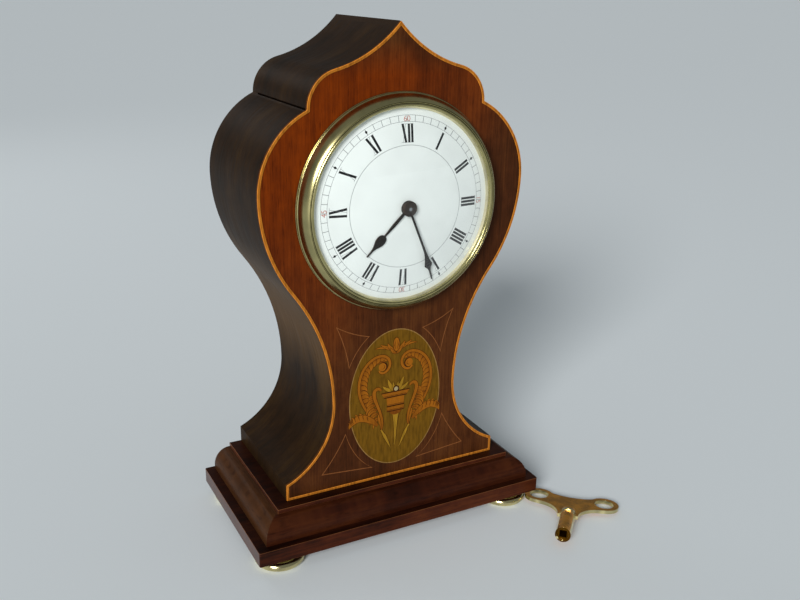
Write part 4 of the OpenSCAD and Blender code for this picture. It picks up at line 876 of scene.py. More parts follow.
class CLOCK_OT_case(Operator):
    """Veneers the front, the bent sides, the back and the bottom of the case"""

    bl_idname = "clock.case"
    bl_label = "Case"

    def execute(self, context):
        board = copy_of(["case_front"], "veneered_front", ["front", "flank"])
        for face in board.data.polygons:
            flat = face.normal.y < -0.7
            face.material_index = 0 if flat else 1
            face.use_smooth = not flat
        map_flank(board)
        hand_over(board, ROOT, "mahogany", "case_front")
        for side in ("left", "right"):
            shell = copy_of([f"case_side_{side}"], f"bent_side_{side}", ["flank"])
            map_flank(shell)
            hand_over(shell, ROOT, "dark_mahogany", f"case_side_{side}")
        heights, widths, _ = flank_run()
        # A strip of painted shade in the crease of each shoulder
        for side in (-1, 1):
            hand_over(crease(side, heights, widths), ROOT, "dark_mahogany")
        back = copy_of(["case_back"], "back_board", ["flank"])
        map_flank(back)
        hand_over(back, ROOT, "dark_mahogany", "case_back")
        bottom = copy_of(["case_bottom"], "bottom_board", ["board"])
        hand_over(bottom, ROOT, "dark_mahogany", "case_bottom")
        return {"FINISHED"}


class CLOCK_OT_stringing(Operator):
    """Lays the boxwood string on the front edge and the light lines on the front"""

    bl_idname = "clock.stringing"
    bl_label = "Stringing"

    def execute(self, context):
        # The string's eased arris takes the painted highlight
        finishes = ["boxwood", "dark_boxwood", "boxwood_highlight"]
        string = copy_of(["edge_stringing"], "edge_string", finishes, 0.3 * MM)
        for face in string.data.polygons:
            if face.normal.y > -0.3:
                face.material_index = 1
        hand_over(string, ROOT, "boxwood", "edge_stringing")
        lines = copy_of(["inlay_lines"], "front_lines", ["panel_boxwood", "pale_boxwood"])
        half = (OVAL_HI - OVAL_LO) / 2
        for face in lines.data.polygons:
            # The pale line hugs the oval, and the panels lie well outside it
            p = face.center
            in_oval = math.hypot(p.x / half.x, (p.z - OVAL_Z) / half.z) < 1.06
            face.material_index = 1 if in_oval else 0
        hand_over(lines, ROOT, "boxwood", "inlay_lines")
        return {"FINISHED"}


class CLOCK_OT_plinth(Operator):
    """Finishes the slab, the moulding and the top board of the plinth"""

    bl_idname = "clock.plinth"
    bl_label = "Plinth"

    def execute(self, context):
        arris = sizes().arris
        for node, name in (("base_slab", "plinth_slab"), ("base_top", "plinth_top")):
            # The eased edges take the worn finish, partly a painted highlight
            board = copy_of([node], name, ["board", "ledge", "side_board", "worn_and_lit_edge"], arris)
            # Upward faces take the painted shade of the ledges
            for face in board.data.polygons:
                if face.material_index == 0 and face.normal.z > 0.9:
                    face.material_index = 1
                elif face.material_index == 0 and abs(face.normal.x) > 0.9:
                    face.material_index = 2
            hand_over(board, ROOT, "mahogany", node)
        moulding = copy_of(["base_moulding"], "plinth_moulding", ["moulding", "side_moulding"])
        map_run(moulding)
        # The ends of the moulding take the painted light of a lit side
        for face in moulding.data.polygons:
            face.material_index = int(abs(face.normal.x) > abs(face.normal.y))
        hand_over(moulding, ROOT, "dark_mahogany", "base_moulding")
        return {"FINISHED"}


def point_tree(name, finish, grid):
    """A tree that copies the object's own mesh round a ring, or to the corners of a rectangle."""
    tree = bpy.data.node_groups.new(name, "GeometryNodeTree")
    face = tree.interface
    face.new_socket("Geometry", in_out="INPUT", socket_type="NodeSocketGeometry")
    if grid:
        names = (("Spread across", "NodeSocketFloat"), ("Spread deep", "NodeSocketFloat"))
    else:
        names = (("Count", "NodeSocketInt"), ("Step", "NodeSocketFloat"))
    keys = [face.new_socket(label, in_out="INPUT", socket_type=kind).identifier for label, kind in names]
    face.new_socket("Geometry", in_out="OUTPUT", socket_type="NodeSocketGeometry")
    source = add(tree, "NodeGroupInput")
    shape, first, second = source.outputs[0], source.outputs[1], source.outputs[2]
    if grid:
        corners = {"Size X": first, "Size Y": second, "Vertices X": 2, "Vertices Y": 2}
        places = add(tree, "GeometryNodeMeshGrid", corners)
        copies = add(tree, "GeometryNodeInstanceOnPoints", {"Points": places, "Instance": shape})
    else:
        places = add(tree, "GeometryNodeMeshLine", {"Count": first, "Offset": (0, 0, 0)})
        index = add(tree, "GeometryNodeInputIndex")
        angle = add(tree, "ShaderNodeMath", {0: index, 1: second}, operation="MULTIPLY")
        euler = add(tree, "ShaderNodeCombineXYZ", {"Y": angle})
        turn = add(tree, "FunctionNodeEulerToRotation", {0: euler})
        ring = {"Points": places, "Instance": shape, "Rotation": turn}
        copies = add(tree, "GeometryNodeInstanceOnPoints", ring)
    real = add(tree, "GeometryNodeRealizeInstances", {0: copies})
    painted = add(tree, "GeometryNodeSetMaterial", {0: real, "Material": look(finish)})
    add(tree, "NodeGroupOutput", {0: painted})
    return tree, keys


def repeat(obj, finish, grid, first, second, centre):
    """Repeats an object's mesh by the point tree and moves the result to its place."""
    tree, keys = point_tree(obj.name, finish, grid)
    spread = obj.modifiers.new("repeat", "NODES")
    spread.node_group = tree
    spread[keys[0]] = first
    spread[keys[1]] = second
    settle(obj)
    obj.data.transform(Matrix.Translation(centre))
    return obj


class CLOCK_OT_feet(Operator):
    """Turns the four brass feet"""

    bl_idname = "clock.feet"
    bl_label = "Feet"

    def execute(self, context):
        lo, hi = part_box("foot_front_left")
        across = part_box("foot_front_right")[0].x - lo.x
        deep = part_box("foot_rear_left")[0].y - lo.y
        r = sizes().foot_r
        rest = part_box("base_slab")[0].z
        # A bun with a bead on it, under a narrow neck
        base = rest * 0.64
        bead = (rest - base) / 2
        flat, bead_r, neck = r * 0.82, r * 0.76, r * 0.6
        section = [(0.0, 0.0), (flat, 0.0)]
        section += arc((r - base * 0.5, base * 0.5), base * 0.5, -80, 90, 12)
        section += [(flat, base)]
        section += arc((bead_r - bead, base + bead), bead, -85, 85, 9)
        section += [(neck, rest), (0.0, rest)]
        verts, faces = turned(section, 72, Vector())
        foot = closed(new_object("turned_feet", verts, faces, ["foot_brass"]))
        middle = Vector(((lo.x + hi.x + across) / 2, (lo.y + hi.y + deep) / 2, 0.0))
        repeat(foot, "foot_brass", True, across, deep, middle)
        smooth(foot)
        names = [f"foot_{end}_{side}" for end in ("front", "rear") for side in ("left", "right")]
        hand_over(foot, ROOT, "polished_brass", *names)
        return {"FINISHED"}


# Oval


class CLOCK_OT_marquetry(Operator):
    """Lays the oval ground and cuts the urn, scrolls and leaves on it"""

    bl_idname = "clock.marquetry"
    bl_label = "Marquetry"

    def execute(self, context):
        half = (OVAL_HI - OVAL_LO) / 2
        angles = [math.radians(2.5 * i) for i in range(144)]
        rim = [(half.x * math.cos(a), half.z * math.sin(a)) for a in angles]
        depth = OVAL_HI.y - OVAL_LO.y
        verts = [(x, FRONT_Y + d, OVAL_Z + z) for d in (0.0, depth) for x, z in rim]
        n = len(rim)
        faces = [list(range(n)), list(range(2 * n - 1, n - 1, -1))]
        faces += [[i, n + i, n + (i + 1) % n, (i + 1) % n] for i in range(n)]
        ground = closed(new_object("oval_plate", verts, faces, ["ground"]))
        hand_over(ground, ROOT, "stained_veneer", "oval_ground")
        motif = Inlay(Vector((0, 0, OVAL_Z)), lambda x, z: 0.0, 0.02, 0.002)
        self.scrolls(motif)
        self.lower_leaves(motif)
        self.urn(motif)
        self.palmette(motif)
        hand_over(motif.build("marquetry_urn_and_scrolls"), ROOT, "motif_veneer", "marquetry_motif")
        return {"FINISHED"}

    def scrolls(self, motif):
        """The two large scrolls: a pale outer band that curls in at its head, feathered on its inner side."""
        head = [(9.8, 17.0), (9.0, 15.5), (7.6, 15.1), (6.4, 15.6), (4.4, 16.4), (3.3, 18.4), (3.5, 20.6)]
        back = [(3.8, 23.4), (6.2, 25.2), (9.2, 25.2), (14.6, 25.0), (21.2, 19.6), (21.3, 9.6)]
        foot = [(21.4, 4.4), (19.6, -0.4), (15.6, -6.6)]
        rim = bezier(head + back + foot, 18)
        spray = rim[42:]
        body = self.beside(spray, -2.2)
        for grow, finish in ((0.16, "pen"), (0.0, "motif")):
            widths = [w + grow for w in (0.4, 1.4, 1.8, 1.9, 1.9, 1.8, 1.5, 0.9)]
            motif.band(body, widths, finish, (0.3, 0.3), True)
        for i, (root, along) in enumerate(self.spaced(spray, 16)):
            inward = Vector((along.y, -along.x))
            reach = between((2.2, 4.4, 5.2, 5.4, 5.4, 5.0, 4.2), i / 15)
            tip = root + inward * reach * 0.92 + along * reach * 0.5
            bend = root + inward * reach * 0.76 + along * reach * 0.02
            motif.leaf([root, root + inward * reach * 0.3, bend, tip], 2.5, (0.2, 0.85), rib=False, rim=0.22)
        motif.band(rim, (0.7, 0.85, 0.95, 0.95, 1.0, 0.95, 0.8), "pen", mirror=True)
        scorch = (0.75, 0.7, 0.6, 0.55, 0.6, 0.5)
        motif.band(rim, (0.5, 0.62, 0.74, 0.72, 0.76, 0.74, 0.6), "motif", scorch, True)
        self.knob(motif, (7.7, 18.9), 2.35)
        hook = [(8.6, 5.4), (9.0, 7.4), (12.8, 7.8), (12.6, 4.0), (12.4, 0.2), (9.8, -3.8), (8.4, -9.0)]
        hook += [(7.6, -12.0), (7.2, -15.0), (8.4, -18.0)]
        stem = bezier(hook, 12)
        for x, z, far, fall in (
            (12.6, 2.6, 3.0, -2.2),
            (12.3, 0.2, 4.4, -3.4),
            (11.6, -2.4, 5.4, -4.4),
            (10.8, -5.0, 5.6, -5.0),
            (10.0, -7.8, 5.0, -5.4),
            (9.4, -10.6, 3.6, -5.4),
        ):
            root = Vector((x, z))
            bends = ((0, 0), (far * 0.5, 0.6), (far * 0.9, fall * 0.1), (far, fall))
            motif.leaf([root + Vector(p) for p in bends], 2.6, (0.25, 0.75))
        motif.leaf([(9.8, -8.2), (8.6, -11.0), (7.4, -14.0), (8.6, -17.4)], 3.0, (0.7, 0.5))
        motif.band(stem, (0.75, 1.1, 1.25, 1.05, 0.95, 0.85, 0.6), "pen", mirror=True)
        motif.band(stem, (0.55, 0.9, 1.0, 0.8, 0.7, 0.6, 0.4), "motif", (0.5, 0.6, 0.6, 0.5, 0.35), True)

    def spaced(self, path, count):
        """Places and directions along a path, an even length apart."""
        run = [0.0]
        for p, q in zip(path, path[1:]):
            run.append(run[-1] + (q - p).length)
        places = []
        for k in range(count):
            i = min(max(bisect.bisect_left(run, run[-1] * k / (count - 1)), 1), len(path) - 1)
            places.append((path[i], (path[i] - path[i - 1]).normalized()))
        return places

    def knob(self, motif, centre, r):
        """The round end of a scroll, with a dark crescent on its outer side."""
        for side in (-1, 1):
            middle = (centre[0] * side, centre[1])
            motif.fill(arc(middle, r, 0, 345, 24), "motif", 0.75)
            shadow = arc(middle, r + 0.1, 90 - side * 20, 90 + side * 170, 20)
            motif.band(shadow, (0.08, 0.3, 0.42, 0.3, 0.08), "pen")
            motif.band(arc(middle, r * 0.5, 90 + side * 30, 90 + side * 200, 12), (0.05, 0.16, 0.05), "pen")

    def beside(self, path, offset):
        """A path moved sideways."""
        moved = []
        for i, p in enumerate(path):
            along = path[min(i + 1, len(path) - 1)] - path[max(i - 1, 0)]
            moved.append(p + Vector((-along.y, along.x)).normalized() * offset)
        return moved

    def lower_leaves(self, motif):
        """The broad leaves that sweep out over the oval line, and the stem ends."""
        rib = [(10.4, -14.4), (14.4, -9.6), (20.4, -6.4), (24.4, -9.2)]
        rib += [(25.6, -10.0), (26.6, -11.2), (27.0, -12.8)]
        spine = bezier(rib, 12)
        for i in range(8):
            root = spine[4 + 2 * i] + Vector((0.0, -0.6))
            lift = (3.0, 3.6, 3.8, 3.6, 3.2, 2.8, 2.4, 2.0)[i]
            bends = ((0, 0), (-0.6, 1.0), (0.1, lift * 0.7), (1.2, lift))
            motif.leaf([root + Vector(p) for p in bends], 2.0, (0.3, 0.75), rib=False)
        motif.band(spine, (0.9, 1.9, 2.1, 1.9, 1.5, 1.1, 0.3), "pen", mirror=True)
        motif.band(spine, (0.75, 1.7, 1.9, 1.7, 1.3, 0.9, 0.15), "motif", (0.3, 0.6, 0.65, 0.6, 0.5), True)
        for i in range(7):
            root = spine[5 + 2 * i] + Vector((-0.2, -0.9))
            slit = [root + Vector(p) for p in ((0, 0), (0.5, 1.2), (0.7, 2.6))]
            motif.band(slit, (0.06, 0.16, 0.2), "pen", mirror=True)
        stalk = bezier([(8.4, -17.4), (6.8, -20.0), (4.6, -24.6), (2.4, -29.8)], 12)
        motif.band(stalk, (0.7, 0.6, 1.05, 0.9, 0.6, 0.12), "pen", mirror=True)
        motif.band(stalk, (0.5, 0.42, 0.85, 0.7, 0.4, 0.05), "gold", mirror=True)

    def urn(self, motif):
        """The urn with its flames, bands, round foot, taper and bone pin."""
        flames = (
            ([(2.4, 4.4), (4.4, 5.0), (6.0, 6.0), (7.8, 8.0)], 1.9),
            ([(1.8, 4.4), (2.6, 6.6), (3.8, 8.6), (4.8, 11.6)], 2.1),
            ([(0.9, 4.6), (1.2, 6.6), (1.4, 7.8), (1.5, 9.4)], 1.3),
        )
        for curve, width in flames:
            path = bezier(curve, 9)
            swell = [width / 2 * share for share in (0.4, 0.9, 1.0, 0.8, 0.5, 0.06)]
            motif.band(path, [w + 0.15 for w in swell], "pen", mirror=True)
            motif.band(path, swell, "gold", mirror=True)
        taper = [(0.2, -9.4), (0.15, -14.0), (0.1, -20.0), (0.0, -28.0)]
        motif.band(taper, (2.15, 1.35, 0.85, 0.3), "pen")
        motif.band(taper, (1.9, 1.1, 0.65, 0.15), "gold")
        base = arc((0.1, -7.6), 3.5, 180, 360, 17)
        motif.fill([(x, -7.6 + (z + 7.6) * 0.66) for x, z in base], "motif", 0.2)
        for low, high, foot, head, shade in (
            (-7.4, -4.9, 4.9, 5.3, 0.5),
            (-4.4, 0.4, 4.9, 5.3, 0.65),
            (0.8, 3.4, 6.6, 8.3, 0.55),
        ):
            motif.fill([(-foot, low), (foot, low), (head, high), (-head, high)], "motif", shade)
            motif.band([(-foot - 0.2, low), (foot + 0.2, low)], (0.3, 0.3), "pen")
            motif.band([(-foot, low + 0.75), (foot, low + 0.75)], (0.12, 0.12), "pen")
        motif.band([(-8.4, 3.6), (8.4, 3.6)], (0.26, 0.26), "pen")
        for radius, finish in ((1.9, "pen"), (1.2, "bone")):
            motif.fill(arc((0.3, 5.1), radius, 0, 345, 24), finish)

    def palmette(self, motif):
        """The round bud and the spread leaves over the scrolls."""
        motif.leaf([(1.6, 27.4), (5.6, 29.4), (9.0, 30.4), (12.4, 29.6)], 1.2, (0.5, 0.8), rib=False)
        motif.leaf([(1.6, 27.6), (4.6, 28.8), (6.8, 30.2), (9.2, 31.4)], 1.7, (0.4, 0.8))
        motif.leaf([(1.2, 27.4), (3.0, 28.2), (4.2, 29.4), (5.0, 31.8)], 1.9, (0.4, 0.8))
        motif.leaf([(0.1, 25.4), (1.2, 26.0), (2.6, 27.2), (3.6, 29.0)], 1.6, (0.3, 0.7), rib=False)
        for wide, tall, finish in ((2.0, 4.0, "pen"), (1.75, 3.75, "motif")):
            ring = arc((0, 0), 1.0, 0, 345, 24)
            motif.fill([(0.1 + wide * x, 30.4 + tall * z) for x, z in ring], finish, 0.7)
        for side in (-1, 1):
            slit = [(0.1 + side * 0.5, 27.8), (0.1 + side * 1.0, 30.0), (0.1 + side * 0.7, 32.6)]
            motif.band(slit, (0.05, 0.2, 0.05), "pen")


# Bezel, glass and dial


def on_axis():
    """The point where the dial's axis meets the front of the case."""
    return Vector((0, FRONT_Y, DIAL_Z))


def spun(name, section, steps, finish, crease_angle=32):
    """A closed section, as radius and height in millimetres, turned about the dial's axis."""
    verts, faces = turned([(r * MM, h * MM) for r, h in section], steps, on_axis(), True)
    return closed(new_object(name, verts, faces, [finish]), crease_angle)


class CLOCK_OT_bezel(Operator):
    """Spins the bezel, the sight ring and the convex glass"""

    bl_idname = "clock.bezel"
    bl_label = "Bezel and glass"

    def execute(self, context):
        # Two beads at the foot, the swell, a fine bead between two grooves and the inner bead
        section = [(49.0, 0.0), (54.2, 0.0)]
        section += arc((53.95, 0.6), 0.6, -60, 55, 8)
        section += [(54.1, 1.1)]
        section += arc((53.75, 1.65), 0.5, -35, 75, 8)
        section += [(53.7, 2.2)]
        swell = [Vector((49.9 + 3.9 * x, 2.9 + 5.5 * z)) for x, z in arc((0, 0), 1.0, -6, 82, 26)]
        for i, point in enumerate(swell):
            section.append(tuple(point.lerp(swell[0].lerp(swell[-1], i / 25), 0.4)))
        section += [(50.5, 8.0), (50.4, 7.75), (50.3, 8.0)]
        section += arc((50.05, 8.0), 0.25, 20, 160, 6)
        section += [(49.8, 7.9), (49.7, 7.6), (49.6, 7.9)]
        section += arc((48.9, 7.6), 0.9, 40, 180, 12)
        section += [(48.0, 6.7), (49.0, 6.7)]
        rim = spun("spun_bezel", section, 192, "spun_brass", 40)
        hand_over(rim, ROOT, "polished_brass", "bezel")
        lip = [(48.1, 4.3), (48.85, 4.3), (48.85, 6.65), (47.9, 6.65), (47.2, 5.6), (47.2, 5.4), (48.1, 5.4)]
        sight = spun("sight_cone", lip, 192, "sight_brass")
        hand_over(sight, ROOT, "polished_brass", "sight_ring")
        pane = copy_of(["bezel_glass"], "convex_glass", ["glass"])
        hand_over(pane, ROOT, "crystal", "bezel_glass")
        return {"FINISHED"}


# Width that each letter takes, in millimetres
STROKES = {"I": 1.7, "V": 3.3, "X": 3.3}
HOURS = ("XII", "I", "II", "III", "IIII", "V", "VI", "VII", "VIII", "IX", "X", "XI")


class CLOCK_OT_dial(Operator):
    """Paints the numerals, the minute track and the quarter figures on the enamel dial"""

    bl_idname = "clock.dial"
    bl_label = "Dial"

    def execute(self, context):
        s = sizes()
        plate = copy_of(["dial"], "enamel_dial", ["enamel"])
        hand_over(plate, ROOT, "enamel", "dial")
        thickness = 1.0
        edge = (FRONT_Y - DIAL_HI.y) / MM + thickness
        r_out = (DIAL_HI.x - DIAL_LO.x) / 2 / MM
        dome = s.dial_dome / MM

        def face_height(x, z):
            return edge + dome * (1 - (x * x + z * z) / r_out**2)

        self.twist = math.degrees(s.print_turn)
        paint = Inlay(Vector((0, 0, DIAL_Z)), face_height, 0.03, 0.0)
        for hour, text in enumerate(HOURS):
            self.numeral(paint, text, hour * 30, s)
        for radius in (s.track_in, s.track_out):
            self.ring(paint, radius / MM, s.hairline / MM * 0.65)
        self.ring(paint, s.inner_circle / MM, s.hairline / MM * 0.8)
        middle = (s.track_in + s.track_out) / 2 / MM
        size = s.lozenge / MM
        for hour in range(12):
            if hour % 3:
                ends = ((0, -size / 2), (size * 0.34, 0), (0, size / 2), (-size * 0.34, 0))
                paint.fill([self.turn(u, middle + v, hour * 30) for u, v in ends], "ink")
        hand_over(paint.build("dial_numerals", thin=True), ROOT, "enamel")
        self.quarters(paint.out, middle, s.figure / MM)
        self.track(paint.out, s)
        return {"FINISHED"}

    def turn(self, across, up, angle):
        """A point of a mark that stands at that angle, clockwise from twelve."""
        a = math.radians(angle + self.twist)
        return (up * math.sin(a) + across * math.cos(a), up * math.cos(a) - across * math.sin(a))

    def ring(self, paint, radius, width):
        """A fine circle on the dial."""
        path = [self.turn(0, radius, 2 * i) for i in range(181)]
        paint.band(path, (width / 2, width / 2), "grey_ink")

    def numeral(self, paint, text, angle, s):
        """One radial Roman numeral, with thick and thin strokes and fine serifs."""
        low, high = s.numeral_in / MM, s.numeral_out / MM
        thick, thin = s.stroke / MM, s.hairline / MM * 0.6
        at = -sum(STROKES[c] for c in text) / 2

        def bar(foot, head, width, finish="ink"):
            marks = [i / 5 for i in range(6)]
            path = [self.turn(foot + (head - foot) * t, low + (high - low) * t, angle) for t in marks]
            paint.band(path, (width / 2, width / 2), finish)

        def serif(centre, radius, half):
            ends = ((centre - half, radius), (centre + half, radius))
            paint.band([self.turn(u, v, angle) for u, v in ends], (thin / 2, thin / 2), "grey_ink")

        for letter in text:
            wide = STROKES[letter]
            mid = at + wide / 2
            reach = (wide - thick) / 2 - 0.25
            if letter == "I":
                bar(mid, mid, thick)
                tops, feet = [mid], [mid]
            elif letter == "V":
                bar(mid, mid - reach, thick)
                bar(mid, mid + reach, thin, "grey_ink")
                tops, feet = [mid - reach, mid + reach], [mid]
            else:
                bar(mid + reach, mid - reach, thick)
                bar(mid - reach, mid + reach, thin, "grey_ink")
                tops = feet = [mid - reach, mid + reach]
            for place in tops:
                serif(place, high - thin / 2, thick * 0.7)
            for place in feet:
                serif(place, low + thin / 2, thick * 0.7)
            at += wide

    def quarters(self, out, radius, height):
        """The red figures at the quarters, as a mesh made from lettering."""
        size_over_height, lift = 1.38, 0.05
        verts, faces = [], []
        for hour, text in ((0, "60"), (3, "15"), (6, "30"), (9, "45")):
            font = bpy.data.curves.new("quarter", "FONT")
            font.body = text
            font.size = height * size_over_height
            font.align_x = "CENTER"
            font.resolution_u = 4
            words = bpy.data.objects.new("quarter", font)
            bpy.context.scene.collection.objects.link(words)
            bpy.context.view_layer.update()
            mesh = bpy.data.meshes.new_from_object(words.evaluated_get(bpy.context.evaluated_depsgraph_get()))
            start = len(verts)
            for v in mesh.vertices:
                x, z = self.turn(v.co.x, radius - height / 2 + v.co.y, hour * 30)
                verts.append((x * MM, FRONT_Y - (out(x, z) + lift) * MM, DIAL_Z + z * MM))
            faces += [[start + i for i in face.vertices] for face in mesh.polygons]
            bpy.data.objects.remove(words)
            bpy.data.curves.remove(font)
            bpy.data.meshes.remove(mesh)
        figures = new_object("quarter_figures", verts, faces, ["red_ink"])
        for face in figures.data.polygons:
            if face.normal.y > 0:
                face.flip()
        hand_over(figures, ROOT, "enamel")

    def track(self, out, s):
        """The minute marks, one repeated round the dial."""
        half, lift = s.hairline / MM / 2, 0.03
        low, high = s.track_in / MM, s.track_out / MM
        verts = []
        for across, radius in ((-half, low), (half, low), (half, high), (-half, high)):
            x, z = self.turn(across, radius, 0)
            verts.append((x * MM, -(out(x, z) + lift) * MM, z * MM))
        tick = new_object("minute_track", verts, [[0, 1, 2, 3]], ["grey_ink"])
        repeat(tick, "grey_ink", False, s.minutes, 2 * math.pi / s.minutes, on_axis())
        hand_over(tick, ROOT, "enamel")


# Hands


class CLOCK_OT_hands(Operator):
    """Cuts the hour and minute hands and finishes the collet"""

    bl_idname = "clock.hands"
    bl_label = "Hands"

    def execute(self, context):
        # Half width and distance from the centre along each hand's edge, in millimetres
        s = sizes()
        hour = s.hour_l / MM
        spade = [(0.7, 3.0), (0.78, hour * 0.16), (0.85, hour * 0.34), (0.45, hour * 0.565)]
        spade += [(1.4, hour * 0.578), (2.15, hour * 0.605), (2.55, hour * 0.655), (2.35, hour * 0.71)]
        spade += [(1.7, hour * 0.76), (1.0, hour * 0.805), (0.5, hour * 0.86), (0.32, hour * 0.995)]
        minute = s.minute_l / MM
        lance = [(0.52, 3.0), (0.52, minute * 0.5), (0.65, minute * 0.6), (1.25, minute * 0.7)]
        lance += [(1.95, minute * 0.76), (2.25, minute * 0.778), (1.95, minute * 0.792)]
        lance += [(1.0, minute * 0.822), (0.5, minute * 0.86), (0.32, minute * 0.995)]
        self.cut("hour_hand", "spade_hand", "hour_gear", spade, hour, s.hour_drop / MM, 0.16)
        self.cut("minute_hand", "lance_hand", "hands", lance, minute, s.minute_drop / MM, 0.6, 1.0)
        cap = copy_of(["hand_collet"], "domed_collet", ["collet_steel"])
        hand_over(cap, "hands", "blued_steel", "hand_collet")
        front = (FRONT_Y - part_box("hand_collet")[0].y) / MM
        dome = [(0.0, front - 0.3)] + [(r, front + h - 0.55) for r, h in arc((0, 0), 0.75, 0, 90, 8)]
        hand_over(spun("arbor_pin", dome, 32, "nickel"), "hands", "blued_steel")
        return {"FINISHED"}

    def cut(self, node, name, body, edge, reach, drop, level_share, slip=0.0):
        """One hand with softened edges: level for a share, then falling to its tip, and slipped back."""
        # Both hands point below the centre, so the tip is in a lower corner of the box
        lo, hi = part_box(node)
        far = lo if abs(lo.x) > abs(hi.x) else hi
        tip = Vector((far.x, lo.z - DIAL_Z))
        a = math.atan2(tip.x, tip.y) - math.radians(slip)
        front = (FRONT_Y - lo.y) / MM
        thick, soft, boss = 0.5, 0.12, sizes().collet_r / MM
        bend = level_share * reach
        start = math.degrees(math.acos(edge[0][0] / boss))
        right = arc((0, 0), boss, -90, start, 24) + edge[1:]
        outline = right + [(-x, z) for x, z in reversed(right[1:])]
        count = len(outline)
        inset = []
        for i, p in enumerate(outline):
            along = Vector(outline[(i + 1) % count]) - Vector(outline[i - 1])
            # Where the hand is narrow the edge is softened less, so that it never crosses the middle
            inwards = Vector((-along.y, along.x)).normalized()
            inset.append(tuple(Vector(p) + inwards * min(soft, 0.5 * abs(p[0]) + 0.02)))

        def place(p, level):
            fall = drop * max(0.0, p[1] - bend) / (reach - bend)
            x = p[0] * math.cos(a) + p[1] * math.sin(a)
            z = p[1] * math.cos(a) - p[0] * math.sin(a)
            return (x * MM, FRONT_Y - (front - thick + level - fall) * MM, DIAL_Z + z * MM)

        verts = [place(p, 0.0) for p in outline]
        verts += [place(p, thick - soft) for p in outline]
        verts += [place(p, thick) for p in inset]
        faces = []
        for row in (0, count):
            for i in range(count):
                j = (i + 1) % count
                faces.append([row + i, row + j, row + count + j, row + count + i])
        top = tessellate_polygon([[Vector((x, z, 0)) for x, z in inset]])
        low = tessellate_polygon([[Vector((x, z, 0)) for x, z in outline]])
        faces += [[2 * count + i for i in f] for f in top] + [list(f)[::-1] for f in low]
        hand = closed(new_object(name, verts, faces, ["blued_steel"]))
        hand_over(hand, body, "blued_steel", node)


# Key, back and movement


class CLOCK_OT_key(Operator):
    """Finishes the loose winding key"""

    bl_idname = "clock.key"
    bl_label = "Key"

    def execute(self, context):
        finishes = ["key_brass", "key_hollow", "foot_brass"]
        hollow, bright = 1, 2
        key = copy_of(["winding_key"], "winding_key_cast", finishes, 0.4 * MM)
        # The way the pipe's open end points, then the mouth's depth, its rim, the bore and the two collars
        ahead = Vector((-0.69, -0.72, 0.06)).normalized()
        mouth, rim_r = 1.0 * MM, 2.9 * MM
        bore, bore_r = 18.5 * MM, 2.0 * MM
        collars = ((21.3 * MM, 22.8 * MM), (23.2 * MM, 25.6 * MM))
        reach = max(v.co.dot(ahead) for v in key.data.vertices)
        tips = [v.co for v in key.data.vertices if v.co.dot(ahead) > reach - 0.6 * MM]
        tip = sum(tips, Vector()) / len(tips)
        for face in key.data.polygons:
            away = tip - face.center
            back = away.dot(ahead)
            outward = -(away - ahead * back)
            on_collar = any(low < back < high for low, high in collars)
            if back < mouth and outward.length > rim_r:
                face.material_index = bright
            elif back < bore and (outward.dot(face.normal) < 0.0 or outward.length < bore_r):
                face.material_index = hollow
            elif abs(face.normal.z) < 0.6 or on_collar:
                face.material_index = bright
        hand_over(key, "key", "polished_brass", "winding_key")
        return {"FINISHED"}


class CLOCK_OT_back(Operator):
    """Finishes the rear ring, its round door and the door's knob"""

    bl_idname = "clock.back"
    bl_label = "Rear door"

    def execute(self, context):
        for node, body in (("rear_ring", ROOT), ("rear_door", "door"), ("door_knob", "door")):
            ring = copy_of([node], f"{node}_spun", ["spun_brass"], 0.2 * MM)
            hand_over(ring, body, "polished_brass", node)
        return {"FINISHED"}


class CLOCK_OT_movement(Operator):
    """Gives every piece of the movement its metal"""

    bl_idname = "clock.movement"
    bl_label = "Movement"

    def execute(self, context):
        by_slot = {
            "plate_brass": "plate_brass",
            "polished_brass": "foot_brass",
            "steel": "steel",
            "nickel": "nickel",
            "blued_steel": "blued_steel",
        }
        for part in frame["record"]["subparts"]:
            obj = frame["nodes"][part["node"]]
            if obj.hide_render:
                continue
            finish = look(by_slot[part["material_slot"]])
            if not obj.material_slots:
                obj.data.materials.append(finish)
            for place in obj.material_slots:
                place.material = finish
        return {"FINISHED"}


# Stage

# Where the photograph was taken from, how the camera was turned, in degrees, and its lens, in millimetres
EYE = (-0.2047, -0.4169, 0.2853)
YAW, PITCH, ROLL = 28.028, 19.451, 1.0188
LENS, SENSOR = 41.04, 36.0
# Where the soft lamp behind stands, and the middle of the clock, which it faces
BACK_LAMP = Vector((-0.45, 1.1, 0.78))
MIDDLE = Vector((0, 0, 0.13))


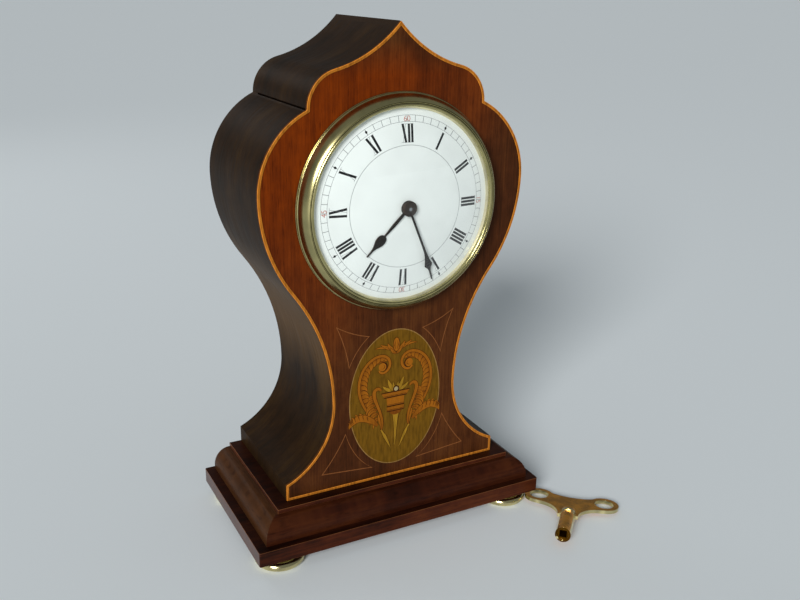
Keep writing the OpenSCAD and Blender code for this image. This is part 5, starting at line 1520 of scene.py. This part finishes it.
class CLOCK_OT_stage(Operator):
    """Sets the floor, the soft lights and the camera"""

    bl_idname = "clock.stage"
    bl_label = "Stage"

    def execute(self, context):
        self.floor()
        self.light("soft_key", "SUN", 2.9, Vector((0.66, 0.64, -0.4)), angle=math.radians(22))
        self.light("back_left_window", "AREA", 1.0, MIDDLE - BACK_LAMP, BACK_LAMP, size=0.5)
        world = bpy.data.worlds.new("studio")
        world.use_nodes = True
        context.scene.world = world
        sky = world.node_tree.nodes["Background"]
        feed(world.node_tree, sky, {"Color": tint("#a2a8ac"), "Strength": 0.55})
        self.camera(context.scene)
        context.scene.view_settings.view_transform = "Standard"
        return {"FINISHED"}

    def floor(self):
        """A wide, plain floor."""
        # Matt pale paint: it keeps the clock's shadow and shows no glare of the sun
        material, tree, shader = surface("pale_table")
        feed(tree, shader, {"Base Color": colours().floor, "Roughness": 0.55, "Specular IOR Level": 0.1})
        side = 60.0
        verts = [(-side, -side, 0), (side, -side, 0), (side, side, 0), (-side, side, 0)]
        mesh = bpy.data.meshes.new("table")
        mesh.from_pydata(verts, [], [[0, 1, 2, 3]])
        mesh.materials.append(material)
        table = bpy.data.objects.new("table", mesh)
        bpy.context.scene.collection.objects.link(table)

    def light(self, name, kind, power, aim, place=(0, 0, 0), **settings):
        """A light at a place, shining along its aim."""
        data = bpy.data.lights.new(name, kind)
        data.energy = power
        for key, value in settings.items():
            setattr(data, key, value)
        lamp = bpy.data.objects.new(name, data)
        bpy.context.scene.collection.objects.link(lamp)
        lamp.matrix_world = Matrix.Translation(place) @ aim.to_track_quat("-Z", "Y").to_matrix().to_4x4()

    def camera(self, scene):
        """The photograph's own view."""
        data = bpy.data.cameras.new("photo_camera")
        data.lens = LENS
        data.sensor_width = SENSOR
        data.clip_start = 0.01
        yaw, pitch, roll = (math.radians(a) for a in (YAW, PITCH, ROLL))
        level = math.cos(pitch)
        ahead = Vector((math.sin(yaw) * level, math.cos(yaw) * level, -math.sin(pitch)))
        across = Vector((math.cos(yaw), -math.sin(yaw), 0.0))
        across = math.cos(roll) * across + math.sin(roll) * across.cross(ahead)
        up = across.cross(ahead)
        eye = bpy.data.objects.new("photo_camera", data)
        scene.collection.objects.link(eye)
        turn = Matrix((across, up, -ahead)).transposed().to_4x4()
        eye.matrix_world = Matrix.Translation(EYE) @ turn
        scene.camera = eye


PIECES = (
    CLOCK_OT_case,
    CLOCK_OT_stringing,
    CLOCK_OT_plinth,
    CLOCK_OT_feet,
    CLOCK_OT_marquetry,
    CLOCK_OT_bezel,
    CLOCK_OT_dial,
    CLOCK_OT_hands,
    CLOCK_OT_key,
    CLOCK_OT_back,
    CLOCK_OT_movement,
    CLOCK_OT_stage,
)


class CLOCK_PT_panel(Panel):
    """Lists the clock's sizes, colours and pieces"""

    bl_idname = "CLOCK_PT_panel"
    bl_label = "Balloon clock"
    bl_space_type = "VIEW_3D"
    bl_region_type = "UI"
    bl_category = "Clock"

    def draw(self, context):
        for group in (context.scene.clock_sizes, context.scene.clock_colours):
            column = self.layout.column()
            for key in group.bl_rna.properties.keys():
                if key not in ("rna_type", "name"):
                    column.prop(group, key)
        for piece in PIECES:
            self.layout.operator(piece.bl_idname)


CLASSES = (ClockSizes, ClockColours, *PIECES, CLOCK_PT_panel)


def register():
    """Adds the classes and the two groups of properties to Blender."""
    for item in CLASSES:
        bpy.utils.register_class(item)
    bpy.types.Scene.clock_sizes = PointerProperty(type=ClockSizes)
    bpy.types.Scene.clock_colours = PointerProperty(type=ClockColours)


def unregister():
    """Takes the groups and the classes away again."""
    del bpy.types.Scene.clock_colours
    del bpy.types.Scene.clock_sizes
    for item in reversed(CLASSES):
        bpy.utils.unregister_class(item)


def main():
    """Adds the classes and builds every piece in order."""
    register()
    for piece in PIECES:
        group, name = piece.bl_idname.split(".")
        getattr(getattr(bpy.ops, group), name)()


if __name__ == "__main__":
    main()
